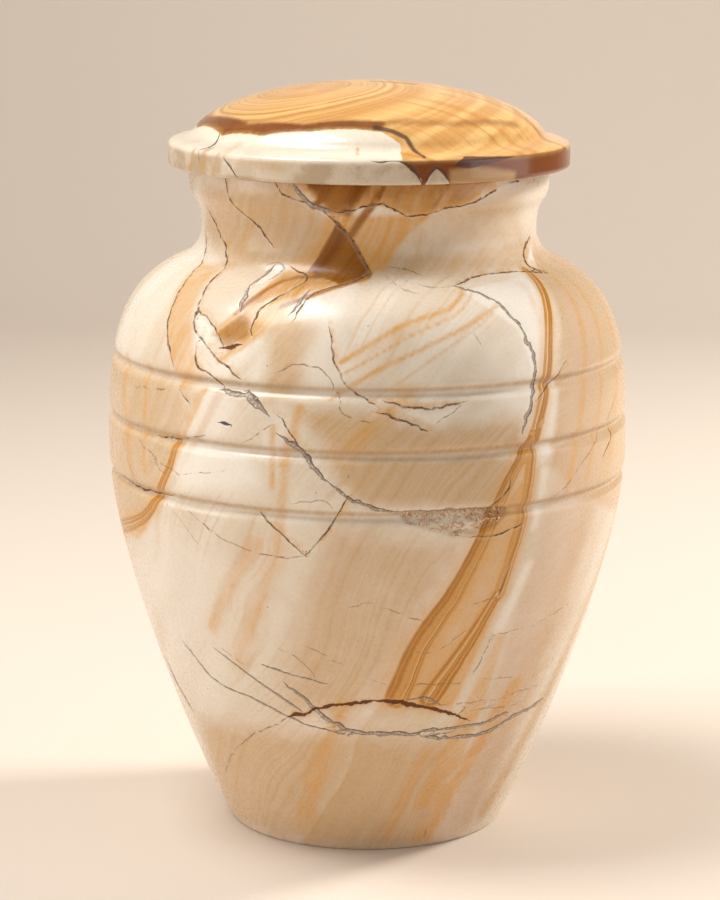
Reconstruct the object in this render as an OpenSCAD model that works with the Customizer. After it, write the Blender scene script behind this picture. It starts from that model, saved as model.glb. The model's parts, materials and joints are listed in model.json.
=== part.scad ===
// Turned stone cremation urn: a hollow jar with three turned rings, and a domed lid that lifts off.
// The origin is the centre of the flat base, with +Z up the turning axis. Millimetres.

/* [Jar] */
// Height of the jar up to the rim that the lid rests on
jar_height = 236; // [232:1:244]
// Radius of the flat base
base_radius = 49; // [46:0.5:52]
// Lean of the wall where it leaves the base, from upright
base_flare = 27; // [24:1:30]
// Radius of the belly at its widest
belly_radius = 92; // [88:0.5:96]
// Height of the widest point of the belly
belly_height = 136; // [130:1:142]
// Radius where the shoulder turns into the neck
shoulder_radius = 65; // [64:0.5:67]
// Height where the shoulder turns into the neck
shoulder_height = 204; // [202:0.5:206]
// Lean of the shoulder where it meets the neck, from upright
shoulder_lean = 69; // [64:1:72]
// Radius of the neck at its narrowest
neck_radius = 59; // [58:0.5:60]
// Height of the narrowest point of the neck
neck_height = 214; // [213:0.5:216]
// Radius of the lip under the lid
lip_radius = 63.3; // [62:0.1:65]
// Height where the lip's side turns upright
lip_height = 231.5; // [230:0.5:231.5]

/* [Wall] */
// Thickness of the turned wall
wall = 9.5; // [8:0.5:11]
// Thickness of the floor
floor_thickness = 11; // [9:0.5:14]
// Radius of the small rounding at the foot and at the rim
edge_round = 1.2; // [0.8:0.1:1.6]

/* [Turned rings] */
// Number of rings cut round the belly
ring_count = 3; // [1:1:3]
// Height of the lowest ring
ring_first_height = 128.6; // [124:0.2:132]
// Distance from one ring to the next
ring_pitch = 20.5; // [18:0.5:22]
// Depth of each ring
ring_depth = 1.1; // [0.6:0.1:1.6]
// Reach of a ring's hollow above its deepest line
ring_reach_up = 2.7; // [2:0.1:3.5]
// Reach of a ring's hollow below its deepest line
ring_reach_down = 1.6; // [1.2:0.1:2.5]

/* [Lid] */
// Radius of the lid's flange
lid_radius = 70.4; // [69:0.1:72]
// Height of the lid above the jar's rim
lid_height = 28.8; // [26:0.2:32]
// Height of the flange's rounded shoulder
flange_height = 9.2; // [8.6:0.1:9.8]
// Radius of the dome where it rises out of the flange
dome_radius = 61; // [60:0.5:62]
// Height of the dome's foot
dome_foot_height = 12.6; // [12:0.1:13.2]
// Slope of the dome at its foot, from level
dome_slope = 56; // [50:1:60]
// Depth of the spigot that drops into the mouth
spigot_depth = 10; // [8:0.5:12]
// Gap all round between the spigot and the mouth
spigot_gap = 0.6; // [0.4:0.1:1]

/* [Hidden] */
$fn = 144;
mouth_radius = neck_radius - wall;
stone_cream = [0.87, 0.76, 0.60];
stone_amber = [0.84, 0.56, 0.27];
lower_steps = 44;
upper_steps = 30;
neck_steps = 12;
round_steps = 4;
floor_steps = 8;
flange_steps = 6;
cove_steps = 10;
dome_steps = 28;
band_step = 0.5;
band_margin = 3 * ring_reach_up;
band_low = ring_first_height - 3 * ring_reach_down;
band_high = ring_first_height + (ring_count - 1) * ring_pitch + band_margin;

// A point on the cubic curve with ends a and d and handles b and c
function curve_point(a, b, c, d, t) =
    pow(1 - t, 3) * a + 3 * pow(1 - t, 2) * t * b + 3 * (1 - t) * t * t * c + pow(t, 3) * d;

// Points along that curve, without its last one
function curve(a, b, c, d, steps) =
    [for (i = [0 : steps - 1]) curve_point(a, b, c, d, i / steps)];

// Unit vector that leans from upright by the angle given, outwards if it is positive
function lean(angle) = [sin(angle), cos(angle)];

// Unit vector square to v, on its right
function right_of(v) = [v.y, -v.x] / norm(v);

// Corner points of the jar's side, as [radius, height]
base_point = [base_radius, 0];
belly_point = [belly_radius, belly_height];
shoulder_point = [shoulder_radius, shoulder_height];
neck_point = [neck_radius, neck_height];
lip_point = [lip_radius, lip_height];

// Lengths of the curves' handles, as shares of the height that each curve spans
lower_curve = curve(
    base_point,
    base_point + 0.30 * belly_height * lean(base_flare),
    belly_point - [0, 0.23 * belly_height],
    belly_point,
    lower_steps);
shoulder_rise = shoulder_height - belly_height;
upper_curve = curve(
    belly_point,
    belly_point + [0, 0.515 * shoulder_rise],
    shoulder_point - 0.405 * shoulder_rise * lean(-shoulder_lean),
    shoulder_point,
    upper_steps);
neck_rise = neck_height - shoulder_height;
neck_curve = curve(
    shoulder_point,
    shoulder_point + 0.08 * neck_rise * lean(-shoulder_lean),
    neck_point - [0, 0.60 * neck_rise],
    neck_point,
    neck_steps);
lip_rise = lip_height - neck_height;
lip_curve = curve(
    neck_point,
    neck_point + [0, 0.75 * lip_rise],
    lip_point - [0, 0.52 * lip_rise],
    lip_point,
    neck_steps);
smooth_side = concat(lower_curve, upper_curve, neck_curve, lip_curve);
radius_by_height = [for (p = concat(lower_curve, upper_curve)) [p.y, p.x]];

// Depth cut away at a height by one ring, and by all of them
function ring_cut(rise) =
    ring_depth * exp(-pow(rise / (rise > 0 ? ring_reach_up : ring_reach_down), 2));
function rings_cut(height, i = 0) =
    i >= ring_count
        ? 0
        : ring_cut(height - ring_first_height - i * ring_pitch) + rings_cut(height, i + 1);

// The jar's side with its rings; its foot, rounded into the leaning wall; and its rounded rim
ringed_band = [
    for (z = [band_low : band_step : band_high])
        [lookup(z, radius_by_height) - rings_cut(z), z]
];
foot_centre = [
    base_radius - edge_round * (1 - sin(base_flare)) / cos(base_flare),
    edge_round
];
foot_round = [
    for (i = [0 : round_steps])
        let (a = -90 + (90 - base_flare) * i / round_steps)
        foot_centre + edge_round * [cos(a), sin(a)]
];
rim_round = [
    for (i = [0 : round_steps])
        let (a = 90 * i / round_steps)
        [lip_radius - edge_round * (1 - cos(a)), jar_height - edge_round * (1 - sin(a))]
];
outer_side = concat(
    foot_round,
    [for (p = smooth_side) if (p.y > edge_round && p.y < band_low - band_step) p],
    ringed_band,
    [for (p = smooth_side) if (p.y > band_high + band_step) p],
    [lip_point],
    rim_round);

// The hollow follows the smooth side, one wall thickness in, up to the straight mouth
hollow_round = 9;
offset_side = [
    for (i = [1 : len(smooth_side) - 1])
        let (along = smooth_side[i] - smooth_side[i - 1])
        smooth_side[i] - wall * right_of(along)
];
hollow_side = [
    for (p = offset_side)
        if (p.y > floor_thickness + hollow_round && p.y < neck_height - 1 && p.x > mouth_radius) p
];
hollow_corner = [
    lookup(floor_thickness, [for (p = offset_side) if (p.y < belly_height) [p.y, p.x]]),
    floor_thickness
];
hollow_floor = [
    for (i = [0 : floor_steps])
        let (t = i / floor_steps, start = hollow_corner - [hollow_round, 0], end = hollow_side[0])
        pow(1 - t, 2) * start + 2 * (1 - t) * t * hollow_corner + t * t * end
];
hollow_outline = concat(
    [[0, floor_thickness]],
    [for (i = [0 : len(hollow_floor) - 2]) hollow_floor[i]],
    hollow_side,
    [
        [mouth_radius, neck_height],
        [mouth_radius, jar_height - edge_round],
        [mouth_radius + edge_round, jar_height],
        [mouth_radius + edge_round, jar_height + 1],
        [0, jar_height + 1]
    ]);

// The lid's outline, measured from the jar's rim. The curves' handles are shares of what each spans.
spigot_radius = mouth_radius - spigot_gap;
spigot_round = 1.5;
flange_corner = 2.2;
flange_inset = 2.5;
flange_side_top = [lid_radius, flange_height - flange_corner];
flange_shoulder = [lid_radius - flange_inset, flange_height];
dome_foot = [dome_radius, dome_foot_height];
dome_top = [0, lid_height];
cove_slope = 19;
cove_lean = lean(cove_slope - 90);
dome_lean = lean(dome_slope - 90);
flange_round = [
    for (i = [0 : round_steps])
        let (a = -90 + 90 * i / round_steps)
        [lid_radius - edge_round * (1 - cos(a)), edge_round * (1 + sin(a))]
];
cove_run = lid_radius - flange_inset - dome_radius;
flange_top = curve(
    flange_side_top,
    flange_side_top + [0, 0.60 * flange_corner],
    flange_shoulder - 0.48 * flange_inset * cove_lean,
    flange_shoulder,
    flange_steps);
cove = curve(
    flange_shoulder,
    flange_shoulder + 0.39 * cove_run * cove_lean,
    dome_foot - 0.49 * cove_run * dome_lean,
    dome_foot,
    cove_steps);
dome = curve(
    dome_foot,
    dome_foot + 0.15 * dome_radius * dome_lean,
    dome_top + [0.54 * dome_radius, 0],
    dome_top,
    dome_steps);
lid_outline = concat(
    [
        [0, -spigot_depth],
        [spigot_radius - spigot_round, -spigot_depth],
        [spigot_radius, spigot_round - spigot_depth],
        [spigot_radius, 0]
    ],
    flange_round,
    flange_top,
    cove,
    dome,
    [dome_top]);

// The jar: one piece of stone, turned outside and hollowed through its mouth
module urn_jar() {
    color(stone_cream)
        difference() {
            rotate_extrude()
                polygon(concat([[0, 0]], outer_side, [[0, jar_height]]));
            rotate_extrude()
                polygon(hollow_outline);
        }
}

// The lid: one piece, with a flange that rests on the rim and a spigot inside the mouth
module urn_lid() {
    color(stone_amber)
        translate([0, 0, jar_height])
            rotate_extrude()
                polygon(lid_outline);
}

urn_jar();
urn_lid();
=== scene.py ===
"""Looks of a cremation urn turned from banded marble: a ringed jar, and a domed lid that lifts off.

Both pieces are turned again here from the same curves as the solids, on meshes fine enough to carry
the cracks, seams and bands of the stone. An outline and all that is drawn on it is in millimetres,
a mesh is in metres. A place on the jar is (degrees round from the front, height), with the degrees
counted towards +X. A place on top of the lid is (x, y), as seen from above.
"""

import json
import logging
import math
from collections.abc import Callable
from dataclasses import dataclass
from enum import Enum

import bpy
import numpy as np
from mathutils import Matrix, Vector

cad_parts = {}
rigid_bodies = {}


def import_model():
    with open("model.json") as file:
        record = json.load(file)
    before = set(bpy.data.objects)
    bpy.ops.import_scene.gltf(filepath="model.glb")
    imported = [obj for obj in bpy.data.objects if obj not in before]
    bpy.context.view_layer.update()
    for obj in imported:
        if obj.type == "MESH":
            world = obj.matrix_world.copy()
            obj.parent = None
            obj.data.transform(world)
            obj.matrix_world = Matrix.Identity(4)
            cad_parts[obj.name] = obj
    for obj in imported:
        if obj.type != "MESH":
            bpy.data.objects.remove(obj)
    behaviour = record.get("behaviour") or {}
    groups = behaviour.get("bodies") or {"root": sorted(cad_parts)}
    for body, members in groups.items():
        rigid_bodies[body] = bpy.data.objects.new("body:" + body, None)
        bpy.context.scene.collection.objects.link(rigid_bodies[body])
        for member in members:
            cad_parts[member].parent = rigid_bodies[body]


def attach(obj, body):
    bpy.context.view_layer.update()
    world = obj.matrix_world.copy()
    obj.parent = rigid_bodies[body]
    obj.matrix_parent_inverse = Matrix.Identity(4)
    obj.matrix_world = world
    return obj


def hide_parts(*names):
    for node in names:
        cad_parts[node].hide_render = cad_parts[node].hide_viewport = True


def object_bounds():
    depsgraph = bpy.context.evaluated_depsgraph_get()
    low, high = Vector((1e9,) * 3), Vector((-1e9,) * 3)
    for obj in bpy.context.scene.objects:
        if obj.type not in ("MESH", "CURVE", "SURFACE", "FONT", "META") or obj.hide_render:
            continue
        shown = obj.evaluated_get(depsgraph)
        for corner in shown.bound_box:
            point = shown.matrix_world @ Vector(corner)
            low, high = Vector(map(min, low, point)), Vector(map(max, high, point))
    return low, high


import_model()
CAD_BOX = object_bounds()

MM = 0.001

# Heights of the jar's landmarks, in millimetres
RING_1 = 128.6
RING_PITCH = 20.5
RING_2 = RING_1 + RING_PITCH
RING_3 = RING_2 + RING_PITCH
RINGS = (RING_1, RING_2, RING_3)
SHOULDER = 204.0
NECK = 214.0
RIM = 236.0

UP = np.array([0.0, 1.0])
# Steps along a long, a middling and a short curve of an outline, and round an edge
LONG_CURVE = 300
MIDDLE_CURVE = 200
SHORT_CURVE = 60
EDGE_STEPS = 4

# Millimetres to a mark that is out of reach, and the least half-width, step and turn that count
FAR = 60.0
THIN = 0.1
SHORT = 1e-6
TINY = 1e-12

Place = tuple[float, float]
Point = tuple[float, float, float]
Colour = tuple[float, float, float]

log = logging.getLogger("urn")


# ---------------------------------------------------------------- nodes


class Nodes:
    """Adds nodes to one tree and links them."""

    def __init__(self, tree: bpy.types.NodeTree) -> None:
        """Keeps the tree that the nodes go in."""
        self.tree = tree

    def add(self, kind: str, settings: dict | None = None, inputs: dict | None = None) -> bpy.types.Node:
        """Adds one node.

        Args:
            kind: The node's type, as Blender names it.
            settings: The node's own properties, set before its sockets.
            inputs: A number, a vector or a socket for each input, by name or by position.

        Returns:
            The new node.
        """
        node = self.tree.nodes.new(kind)
        for name, value in (settings or {}).items():
            setattr(node, name, value)
        for name, value in (inputs or {}).items():
            socket = node.inputs[name]
            if isinstance(value, Wrapped):
                self.tree.links.new(value.socket, socket)
            elif isinstance(value, bpy.types.NodeSocket):
                self.tree.links.new(value, socket)
            else:
                socket.default_value = value
        return node


@dataclass(frozen=True)
class Wrapped:
    """An output socket on its way through a tree."""

    nodes: Nodes
    socket: bpy.types.NodeSocket

    def _node(self, kind: str, operation: str, values: tuple) -> bpy.types.NodeSocket:
        """Adds a node that reckons with these values, and returns its first output."""
        inputs = dict(enumerate(values))
        return self.nodes.add(kind, {"operation": operation}, inputs).outputs[0]


class Value(Wrapped):
    """A number that is reckoned with as a Python number is."""

    def math(self, operation: str, *values: "Value | float") -> "Value":
        """A Math node on the values given, in their order."""
        return Value(self.nodes, self._node("ShaderNodeMath", operation, values))

    def __add__(self, other: "Value | float") -> "Value":
        """self + other."""
        return self.math("ADD", self, other)

    def __radd__(self, other: float) -> "Value":
        """other + self."""
        return self.math("ADD", other, self)

    def __sub__(self, other: "Value | float") -> "Value":
        """self - other."""
        return self.math("SUBTRACT", self, other)

    def __rsub__(self, other: float) -> "Value":
        """other - self."""
        return self.math("SUBTRACT", other, self)

    def __mul__(self, other: "Value | float") -> "Value":
        """self * other."""
        return self.math("MULTIPLY", self, other)

    def __rmul__(self, other: float) -> "Value":
        """other * self."""
        return self.math("MULTIPLY", other, self)

    def __truediv__(self, other: "Value | float") -> "Value":
        """self / other."""
        return self.math("DIVIDE", self, other)

    def __abs__(self) -> "Value":
        """The size of self, without its sign."""
        return self.math("ABSOLUTE", self)

    def __pow__(self, power: float) -> "Value":
        """self to a power."""
        return self.math("POWER", self, power)

    def at_least(self, other: "Value | float") -> "Value":
        """The larger of the two."""
        return self.math("MAXIMUM", self, other)

    def at_most(self, other: "Value | float") -> "Value":
        """The smaller of the two."""
        return self.math("MINIMUM", self, other)

    def rise(self, low: "Value | float", high: "Value | float") -> "Value":
        """A smooth rise.

        Args:
            low: Up to here it is 0.
            high: From here on it is 1.

        Returns:
            Its height.
        """
        inputs = {"Value": self, "From Min": low, "From Max": high}
        node = self.nodes.add("ShaderNodeMapRange", {"interpolation_type": "SMOOTHSTEP"}, inputs)
        return Value(self.nodes, node.outputs["Result"])

    def fall(self, low: "Value | float", high: "Value | float") -> "Value":
        """1 up to low, 0 from high on, and a smooth fall between them."""
        return 1.0 - self.rise(low, high)


class Arrow(Wrapped):
    """A vector on its way through a tree."""

    def __add__(self, other: "Arrow | Point") -> "Arrow":
        """self + other."""
        return Arrow(self.nodes, self._node("ShaderNodeVectorMath", "ADD", (self, other)))

    def scaled(self, factor: float) -> "Arrow":
        """self, longer or shorter by a factor."""
        node = self.nodes.add("ShaderNodeVectorMath", {"operation": "SCALE"}, {0: self, "Scale": factor})
        return Arrow(self.nodes, node.outputs[0])

    def along(self, direction: Point) -> Value:
        """How far self reaches in a direction."""
        node = self.nodes.add("ShaderNodeVectorMath", {"operation": "DOT_PRODUCT"}, {0: self, 1: direction})
        return Value(self.nodes, node.outputs["Value"])

    def parts(self) -> tuple[Value, Value, Value]:
        """The three numbers that self is made of."""
        node = self.nodes.add("ShaderNodeSeparateXYZ", None, {0: self})
        return tuple(Value(self.nodes, socket) for socket in node.outputs)


class Tint(Wrapped):
    """A colour on its way through a shader."""

    def under(self, other: "Tint | Colour", factor: "Value | float") -> "Tint":
        """self where factor is 0, and the other colour where it is 1."""
        return self._mixed("MIX", other, factor)

    def times(self, other: "Tint | Colour", factor: "Value | float") -> "Tint":
        """self darkened by the other colour, as far as factor says."""
        return self._mixed("MULTIPLY", other, factor)

    def _mixed(self, blend: str, other: "Tint | Colour", factor: "Value | float") -> "Tint":
        """Mixes self with another colour.

        Args:
            blend: How the two are mixed, as Blender names it.
            other: The other colour.
            factor: How much of it there is, from 0 to 1.

        Returns:
            The mixed colour.
        """
        if isinstance(other, tuple):
            other = (*other, 1.0)
        settings = {"data_type": "RGBA", "blend_type": blend, "clamp_factor": True}
        node = self.nodes.add("ShaderNodeMix", settings, {"Factor": factor, 6: self, 7: other})
        return Tint(self.nodes, node.outputs[2])


class Shader(Nodes):
    """A material's tree, with its surface shader and the patterns that stone is made of.

    Its place is the place on the object, in millimetres, and every pattern is read there.
    """

    def __init__(self, name: str) -> None:
        """Makes a material that has its shader, its output and its place.

        Args:
            name: The material's name.
        """
        self.material = bpy.data.materials.new(name)
        self.material.use_nodes = True
        super().__init__(self.material.node_tree)
        self.tree.nodes.clear()
        self.surface = self.add("ShaderNodeBsdfPrincipled")
        self.add("ShaderNodeOutputMaterial", None, {"Surface": self.surface.outputs["BSDF"]})
        self.place = Arrow(self, self.add("ShaderNodeTexCoord").outputs["Object"]).scaled(1.0 / MM)

    def drawn(self, name: str) -> Arrow:
        """What the mesh carries at each point under this name."""
        node = self.add("ShaderNodeAttribute", {"attribute_type": "GEOMETRY", "attribute_name": name})
        return Arrow(self, node.outputs["Vector"])

    def lines(self, name: str, ragged: Value) -> tuple[Value, Value, Value]:
        """Measures to the lines that the mesh carries under a name.

        Args:
            name: The name of the lines.
            ragged: How far their edges stray sideways, in millimetres.

        Returns:
            The distance to the nearest line in half-widths, the same in millimetres, and the place
            across it in half-widths, which tells its two sides apart.
        """
        signed, plain, half_width = self.drawn(name).parts()
        distance = abs(signed + ragged).at_least(plain - 0.75)
        half_width = half_width.at_least(0.05)
        return distance / half_width, distance, (signed + ragged) / half_width

    def _texture(
        self, kind: str, where: dict, size: float, detail: float, roughness: float
    ) -> bpy.types.Node:
        """Adds a Noise Texture node.

        Args:
            kind: Its number of dimensions, "1D" or "3D".
            where: Where it is read, by the name of its input.
            size: How many millimetres across its lumps are.
            detail: How many finer layers it has.
            roughness: How strong they are.

        Returns:
            The new node.
        """
        inputs = {**where, "Scale": 1.0 / size, "Detail": detail, "Roughness": roughness}
        return self.add("ShaderNodeTexNoise", {"noise_dimensions": kind}, inputs)

    def noise(self, size: float, detail: float = 2.0, roughness: float = 0.5) -> Value:
        """Cloudy noise from 0 to 1 whose lumps are about size millimetres across."""
        node = self._texture("3D", {"Vector": self.place}, size, detail, roughness)
        return Value(self, node.outputs["Fac"])

    def drift(self, size: float, reach: float) -> Arrow:
        """A vector that wanders up to reach millimetres, with lumps of the size given."""
        node = self._texture("3D", {"Vector": self.place}, size, 1.0, 0.5)
        return (Arrow(self, node.outputs["Color"]) + (-0.5, -0.5, -0.5)).scaled(2.0 * reach)

    def bands(self, depth: Value, size: float, detail: float, roughness: float = 0.6) -> Value:
        """Noise from 0 to 1 in flat layers about size millimetres thick."""
        return Value(self, self._texture("1D", {"W": depth}, size, detail, roughness).outputs["Fac"])

    def specks(self, size: float) -> tuple[Value, Value]:
        """Scattered points.

        Args:
            size: Distance from one point to the next, in millimetres.

        Returns:
            The distance to the nearest point as a share of size, and a number from 0 to 1 that is
            each point's own.
        """
        inputs = {"Vector": self.place, "Scale": 1.0 / size}
        node = self.add("ShaderNodeTexVoronoi", {"feature": "F1"}, inputs)
        own = Arrow(self, node.outputs["Color"]).parts()[0]
        return Value(self, node.outputs["Distance"]), own

    def grain(self) -> Value:
        """The finest grain of polished stone, from 0 to 1."""
        return self.noise(0.7, 2.0, 0.7)

    def colour(self, colour: Colour) -> Tint:
        """Starts from a plain colour.

        Args:
            colour: Its red, green and blue.

        Returns:
            The colour, ready to be mixed.
        """
        node = self.add("ShaderNodeRGB")
        node.outputs[0].default_value = (*colour, 1.0)
        return Tint(self, node.outputs[0])

    def link(self, name: str, value: Wrapped) -> None:
        """Feeds one socket of the surface."""
        self.tree.links.new(value.socket, self.surface.inputs[name])

    def fix(self, **values: float) -> None:
        """Sets sockets of the surface that are the same all over it."""
        for name, value in values.items():
            self.surface.inputs[name.replace("_", " ")].default_value = value

    def relief(self, height: Value) -> None:
        """Raises the surface's light and shade by a height in millimetres."""
        node = self.add("ShaderNodeBump", None, {"Height": height * MM, "Distance": 1.0, "Strength": 1.0})
        self.tree.links.new(node.outputs["Normal"], self.surface.inputs["Normal"])


# ---------------------------------------------------------------- outlines


def bezier(a: Place, b: Place, c: Place, d: Place, steps: int) -> np.ndarray:
    """Points along the cubic curve with ends a and d and handles b and c.

    Args:
        a: The first end.
        b: The handle of the first end.
        c: The handle of the second end.
        d: The second end.
        steps: Number of equal steps.

    Returns:
        The points, without the last one.
    """
    t = (np.arange(steps) / steps)[:, None]
    a, b, c, d = (np.array(p, float) for p in (a, b, c, d))
    return (1 - t) ** 3 * a + 3 * (1 - t) ** 2 * t * b + 3 * (1 - t) * t * t * c + t**3 * d


def lean(degrees: float) -> np.ndarray:
    """Unit vector (outwards, up) that leans outwards from upright by an angle."""
    angle = math.radians(degrees)
    return np.array([math.sin(angle), math.cos(angle)])


def arc(centre: Place, radius: float, start: float, end: float, steps: int) -> np.ndarray:
    """Points of an arc, both ends included.

    Args:
        centre: The arc's centre, as (radius, height).
        radius: The arc's own radius.
        start: The first angle, in degrees from outwards towards up.
        end: The last angle.
        steps: Number of equal steps.

    Returns:
        The points.
    """
    angles = np.radians(np.linspace(start, end, steps + 1))
    return np.array(centre) + radius * np.stack([np.cos(angles), np.sin(angles)], 1)


def respaced(line: np.ndarray, step_at: Callable[[np.ndarray], np.ndarray]) -> np.ndarray:
    """A line with new points along it.

    Args:
        line: The points of the line.
        step_at: Gives the spacing wanted at each of the points.

    Returns:
        Points on the same line, its two ends among them.
    """
    lengths = np.r_[0.0, np.cumsum(np.hypot(*np.diff(line, axis=0).T))]
    density = 1.0 / step_at(line)
    counted = np.r_[0.0, np.cumsum((density[1:] + density[:-1]) / 2 * np.diff(lengths))]
    places = np.linspace(0.0, counted[-1], int(round(counted[-1])) + 1)
    return np.stack([np.interp(places, counted, line[:, i]) for i in (0, 1)], 1)


@dataclass
class JarShape:
    """Sizes of the jar in millimetres, and its outline.

    Each handle is the length of a curve's handle, as a share of the height that the curve spans.
    """

    height: float = RIM
    base_radius: float = 49.0
    base_flare: float = 27.0
    belly_radius: float = 91.96
    belly_height: float = 136.0
    shoulder: Place = (65.0, SHOULDER)
    shoulder_lean: float = 69.0
    neck: Place = (59.0, NECK)
    lip: Place = (63.3, 231.5)
    lower_handles: Place = (0.30, 0.23)
    upper_handles: Place = (0.515, 0.405)
    waist_handles: Place = (0.08, 0.60)
    flare_handles: Place = (0.75, 0.52)
    wall: float = 9.5
    floor: float = 11.0
    edge: float = 1.2
    ring_depth: float = 1.6
    ring_reach_up: float = 2.0
    ring_reach_down: float = 1.4
    fine_step: float = 0.7
    fine_above: float = 9.0
    fine_below: float = 6.0
    side_step: float = 1.3
    hidden_step: float = 9.0
    hollow_round: float = 9.0
    hollow_corner: float = 5.0
    hollow_chamfer: Place = (3.2, 2.6)

    def smooth_side(self) -> np.ndarray:
        """Shapes the side without its rings.

        Returns:
            Densely spaced points from base to lip, as (radius, height).
        """
        base, belly = np.array([self.base_radius, 0.0]), np.array([self.belly_radius, self.belly_height])
        shoulder, neck, lip = (np.array(p) for p in (self.shoulder, self.neck, self.lip))
        flared, leaning = lean(self.base_flare), lean(-self.shoulder_lean)
        parts = (
            (base, flared, self.lower_handles, UP, belly, LONG_CURVE),
            (belly, UP, self.upper_handles, leaning, shoulder, MIDDLE_CURVE),
            (shoulder, leaning, self.waist_handles, UP, neck, SHORT_CURVE),
            (neck, UP, self.flare_handles, UP, lip, SHORT_CURVE),
        )
        curves = []
        for start, leaving, handles, arriving, end, steps in parts:
            rise = end[1] - start[1]
            first, second = start + handles[0] * rise * leaving, end - handles[1] * rise * arriving
            curves.append(bezier(start, first, second, end, steps))
        return np.concatenate([*curves, [lip]])

    def ring_cut(self, height: np.ndarray) -> np.ndarray:
        """Measures the turned rings.

        Args:
            height: Heights on the side.

        Returns:
            How deep the rings are cut at each of them.
        """
        cut = np.zeros_like(height)
        for ring in RINGS:
            rise = height - ring
            reach = np.where(rise > 0, self.ring_reach_up, self.ring_reach_down)
            cut += self.ring_depth * np.exp(-((rise / reach) ** 2))
        return cut

    def outer_side(self) -> np.ndarray:
        """Shapes the finished outside.

        Returns:
            One point for each row of the mesh, from the base's edge up to the rim.
        """
        side = self.smooth_side()
        side[:, 0] -= self.ring_cut(side[:, 1])
        low, high = RING_1 - self.fine_below, RING_3 + self.fine_above

        def step_at(line: np.ndarray) -> np.ndarray:
            """Closer rows across the rings."""
            return np.where((line[:, 1] > low) & (line[:, 1] < high), self.fine_step, self.side_step)

        flare = math.radians(self.base_flare)
        foot_centre = (self.base_radius - self.edge * (1 - math.sin(flare)) / math.cos(flare), self.edge)
        foot = arc(foot_centre, self.edge, -90, -self.base_flare, EDGE_STEPS)
        rim_centre = (self.lip[0] - self.edge, self.height - self.edge)
        rim = arc(rim_centre, self.edge, 0, 90, EDGE_STEPS)
        return np.concatenate([foot, respaced(side[side[:, 1] > self.edge], step_at), rim])

    def hollow(self) -> np.ndarray:
        """Shapes the inside, which the lid hides.

        Returns:
            Its points from the rim down to the middle of the floor.
        """
        side = self.smooth_side()
        along = np.gradient(side, axis=0)
        along /= np.hypot(*along.T)[:, None]
        inner = side - self.wall * np.stack([along[:, 1], -along[:, 0]], 1)
        mouth = self.neck[0] - self.wall
        low, high = self.floor + self.hollow_round, self.neck[1] - 1
        keep = (inner[:, 1] > low) & (inner[:, 1] < high) & (inner[:, 0] > mouth)
        inner = respaced(inner[keep][::-1], lambda line: np.full(len(line), self.hidden_step))
        top = [(mouth + self.edge, self.height), (mouth, self.height - self.edge), (mouth, self.neck[1])]
        corner = np.array([inner[-1, 0] - self.hollow_corner, self.floor])
        level = (corner[0] - self.hollow_round, self.floor)
        bottom = [corner + self.hollow_chamfer, corner, level, (0.0, self.floor)]
        return np.concatenate([top, inner, bottom])

    def outline(self) -> np.ndarray:
        """The whole closed outline: under the base, up the outside, and down the inside."""
        under = [(0.0, 0.0), (self.base_radius * 0.5, 0.0)]
        return np.concatenate([under, self.outer_side(), self.hollow()])


@dataclass
class LidShape:
    """Sizes of the lid in millimetres, measured from the jar's rim, and its outline.

    Each handle is the length of a curve's handle, as a share of what the curve spans.
    """

    rim_height: float = RIM
    radius: float = 70.4
    height: float = 28.8
    flange: float = 9.2
    flange_corner: float = 2.2
    flange_inset: float = 2.5
    dome_radius: float = 61.0
    dome_foot: float = 12.6
    dome_slope: float = 56.0
    cove_slope: float = 19.0
    rounding_handles: Place = (0.60, 0.48)
    cove_handles: Place = (0.39, 0.49)
    dome_handles: Place = (0.15, 0.54)
    spigot_radius: float = 48.9
    spigot_depth: float = 10.0
    spigot_round: float = 1.5
    edge: float = 1.2
    rounding_steps: int = 30
    step: float = 0.95
    fine_step: float = 0.475
    fine_inside: float = 2.0
    flange_rows: Place = (2.0, 0.9)

    def top(self) -> np.ndarray:
        """Shapes the part that shows.

        Returns:
            Densely spaced points from the flange's side to the middle of the dome.
        """
        side_top = np.array([self.radius, self.flange - self.flange_corner])
        shoulder = np.array([self.radius - self.flange_inset, self.flange])
        foot = np.array([self.dome_radius, self.dome_foot])
        peak = np.array([0.0, self.height])
        inwards = lean(-90.0)
        cove_lean, dome_lean = lean(self.cove_slope - 90), lean(self.dome_slope - 90)
        run = shoulder[0] - foot[0]
        parts = (
            (side_top, UP, self.flange_corner, self.rounding_handles, self.flange_inset, cove_lean,
             shoulder, self.rounding_steps),
            (shoulder, cove_lean, run, self.cove_handles, run, dome_lean, foot, SHORT_CURVE),
            (foot, dome_lean, self.dome_radius, self.dome_handles, self.dome_radius, inwards,
             peak, LONG_CURVE),
        )
        curves = []
        for start, leaving, first_span, handles, second_span, arriving, end, steps in parts:
            first = start + handles[0] * first_span * leaving
            second = end - handles[1] * second_span * arriving
            curves.append(bezier(start, first, second, end, steps))
        return np.concatenate([*curves, [peak]])

    def outline(self) -> np.ndarray:
        """Shapes the whole lid.

        Returns:
            Its closed outline, with heights from the base of the urn.
        """
        spigot = [
            (0.0, -self.spigot_depth),
            (self.spigot_radius - self.spigot_round, -self.spigot_depth),
            (self.spigot_radius, self.spigot_round - self.spigot_depth),
            (self.spigot_radius, 0.0),
        ]
        under = arc((self.radius - self.edge, self.edge), self.edge, -90, 0, EDGE_STEPS)
        first_row, row_step = self.flange_rows
        rows = np.arange(first_row, self.flange - self.flange_corner, row_step)
        side = np.array([(self.radius, z) for z in rows])

        def step_at(line: np.ndarray) -> np.ndarray:
            """Closer rows on the flange and the cove than on the dome."""
            return np.where(line[:, 0] > self.dome_radius - self.fine_inside, self.fine_step, self.step)

        points = np.concatenate([spigot, under, side, respaced(self.top(), step_at)])
        return points + self.rim_height * UP


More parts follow.
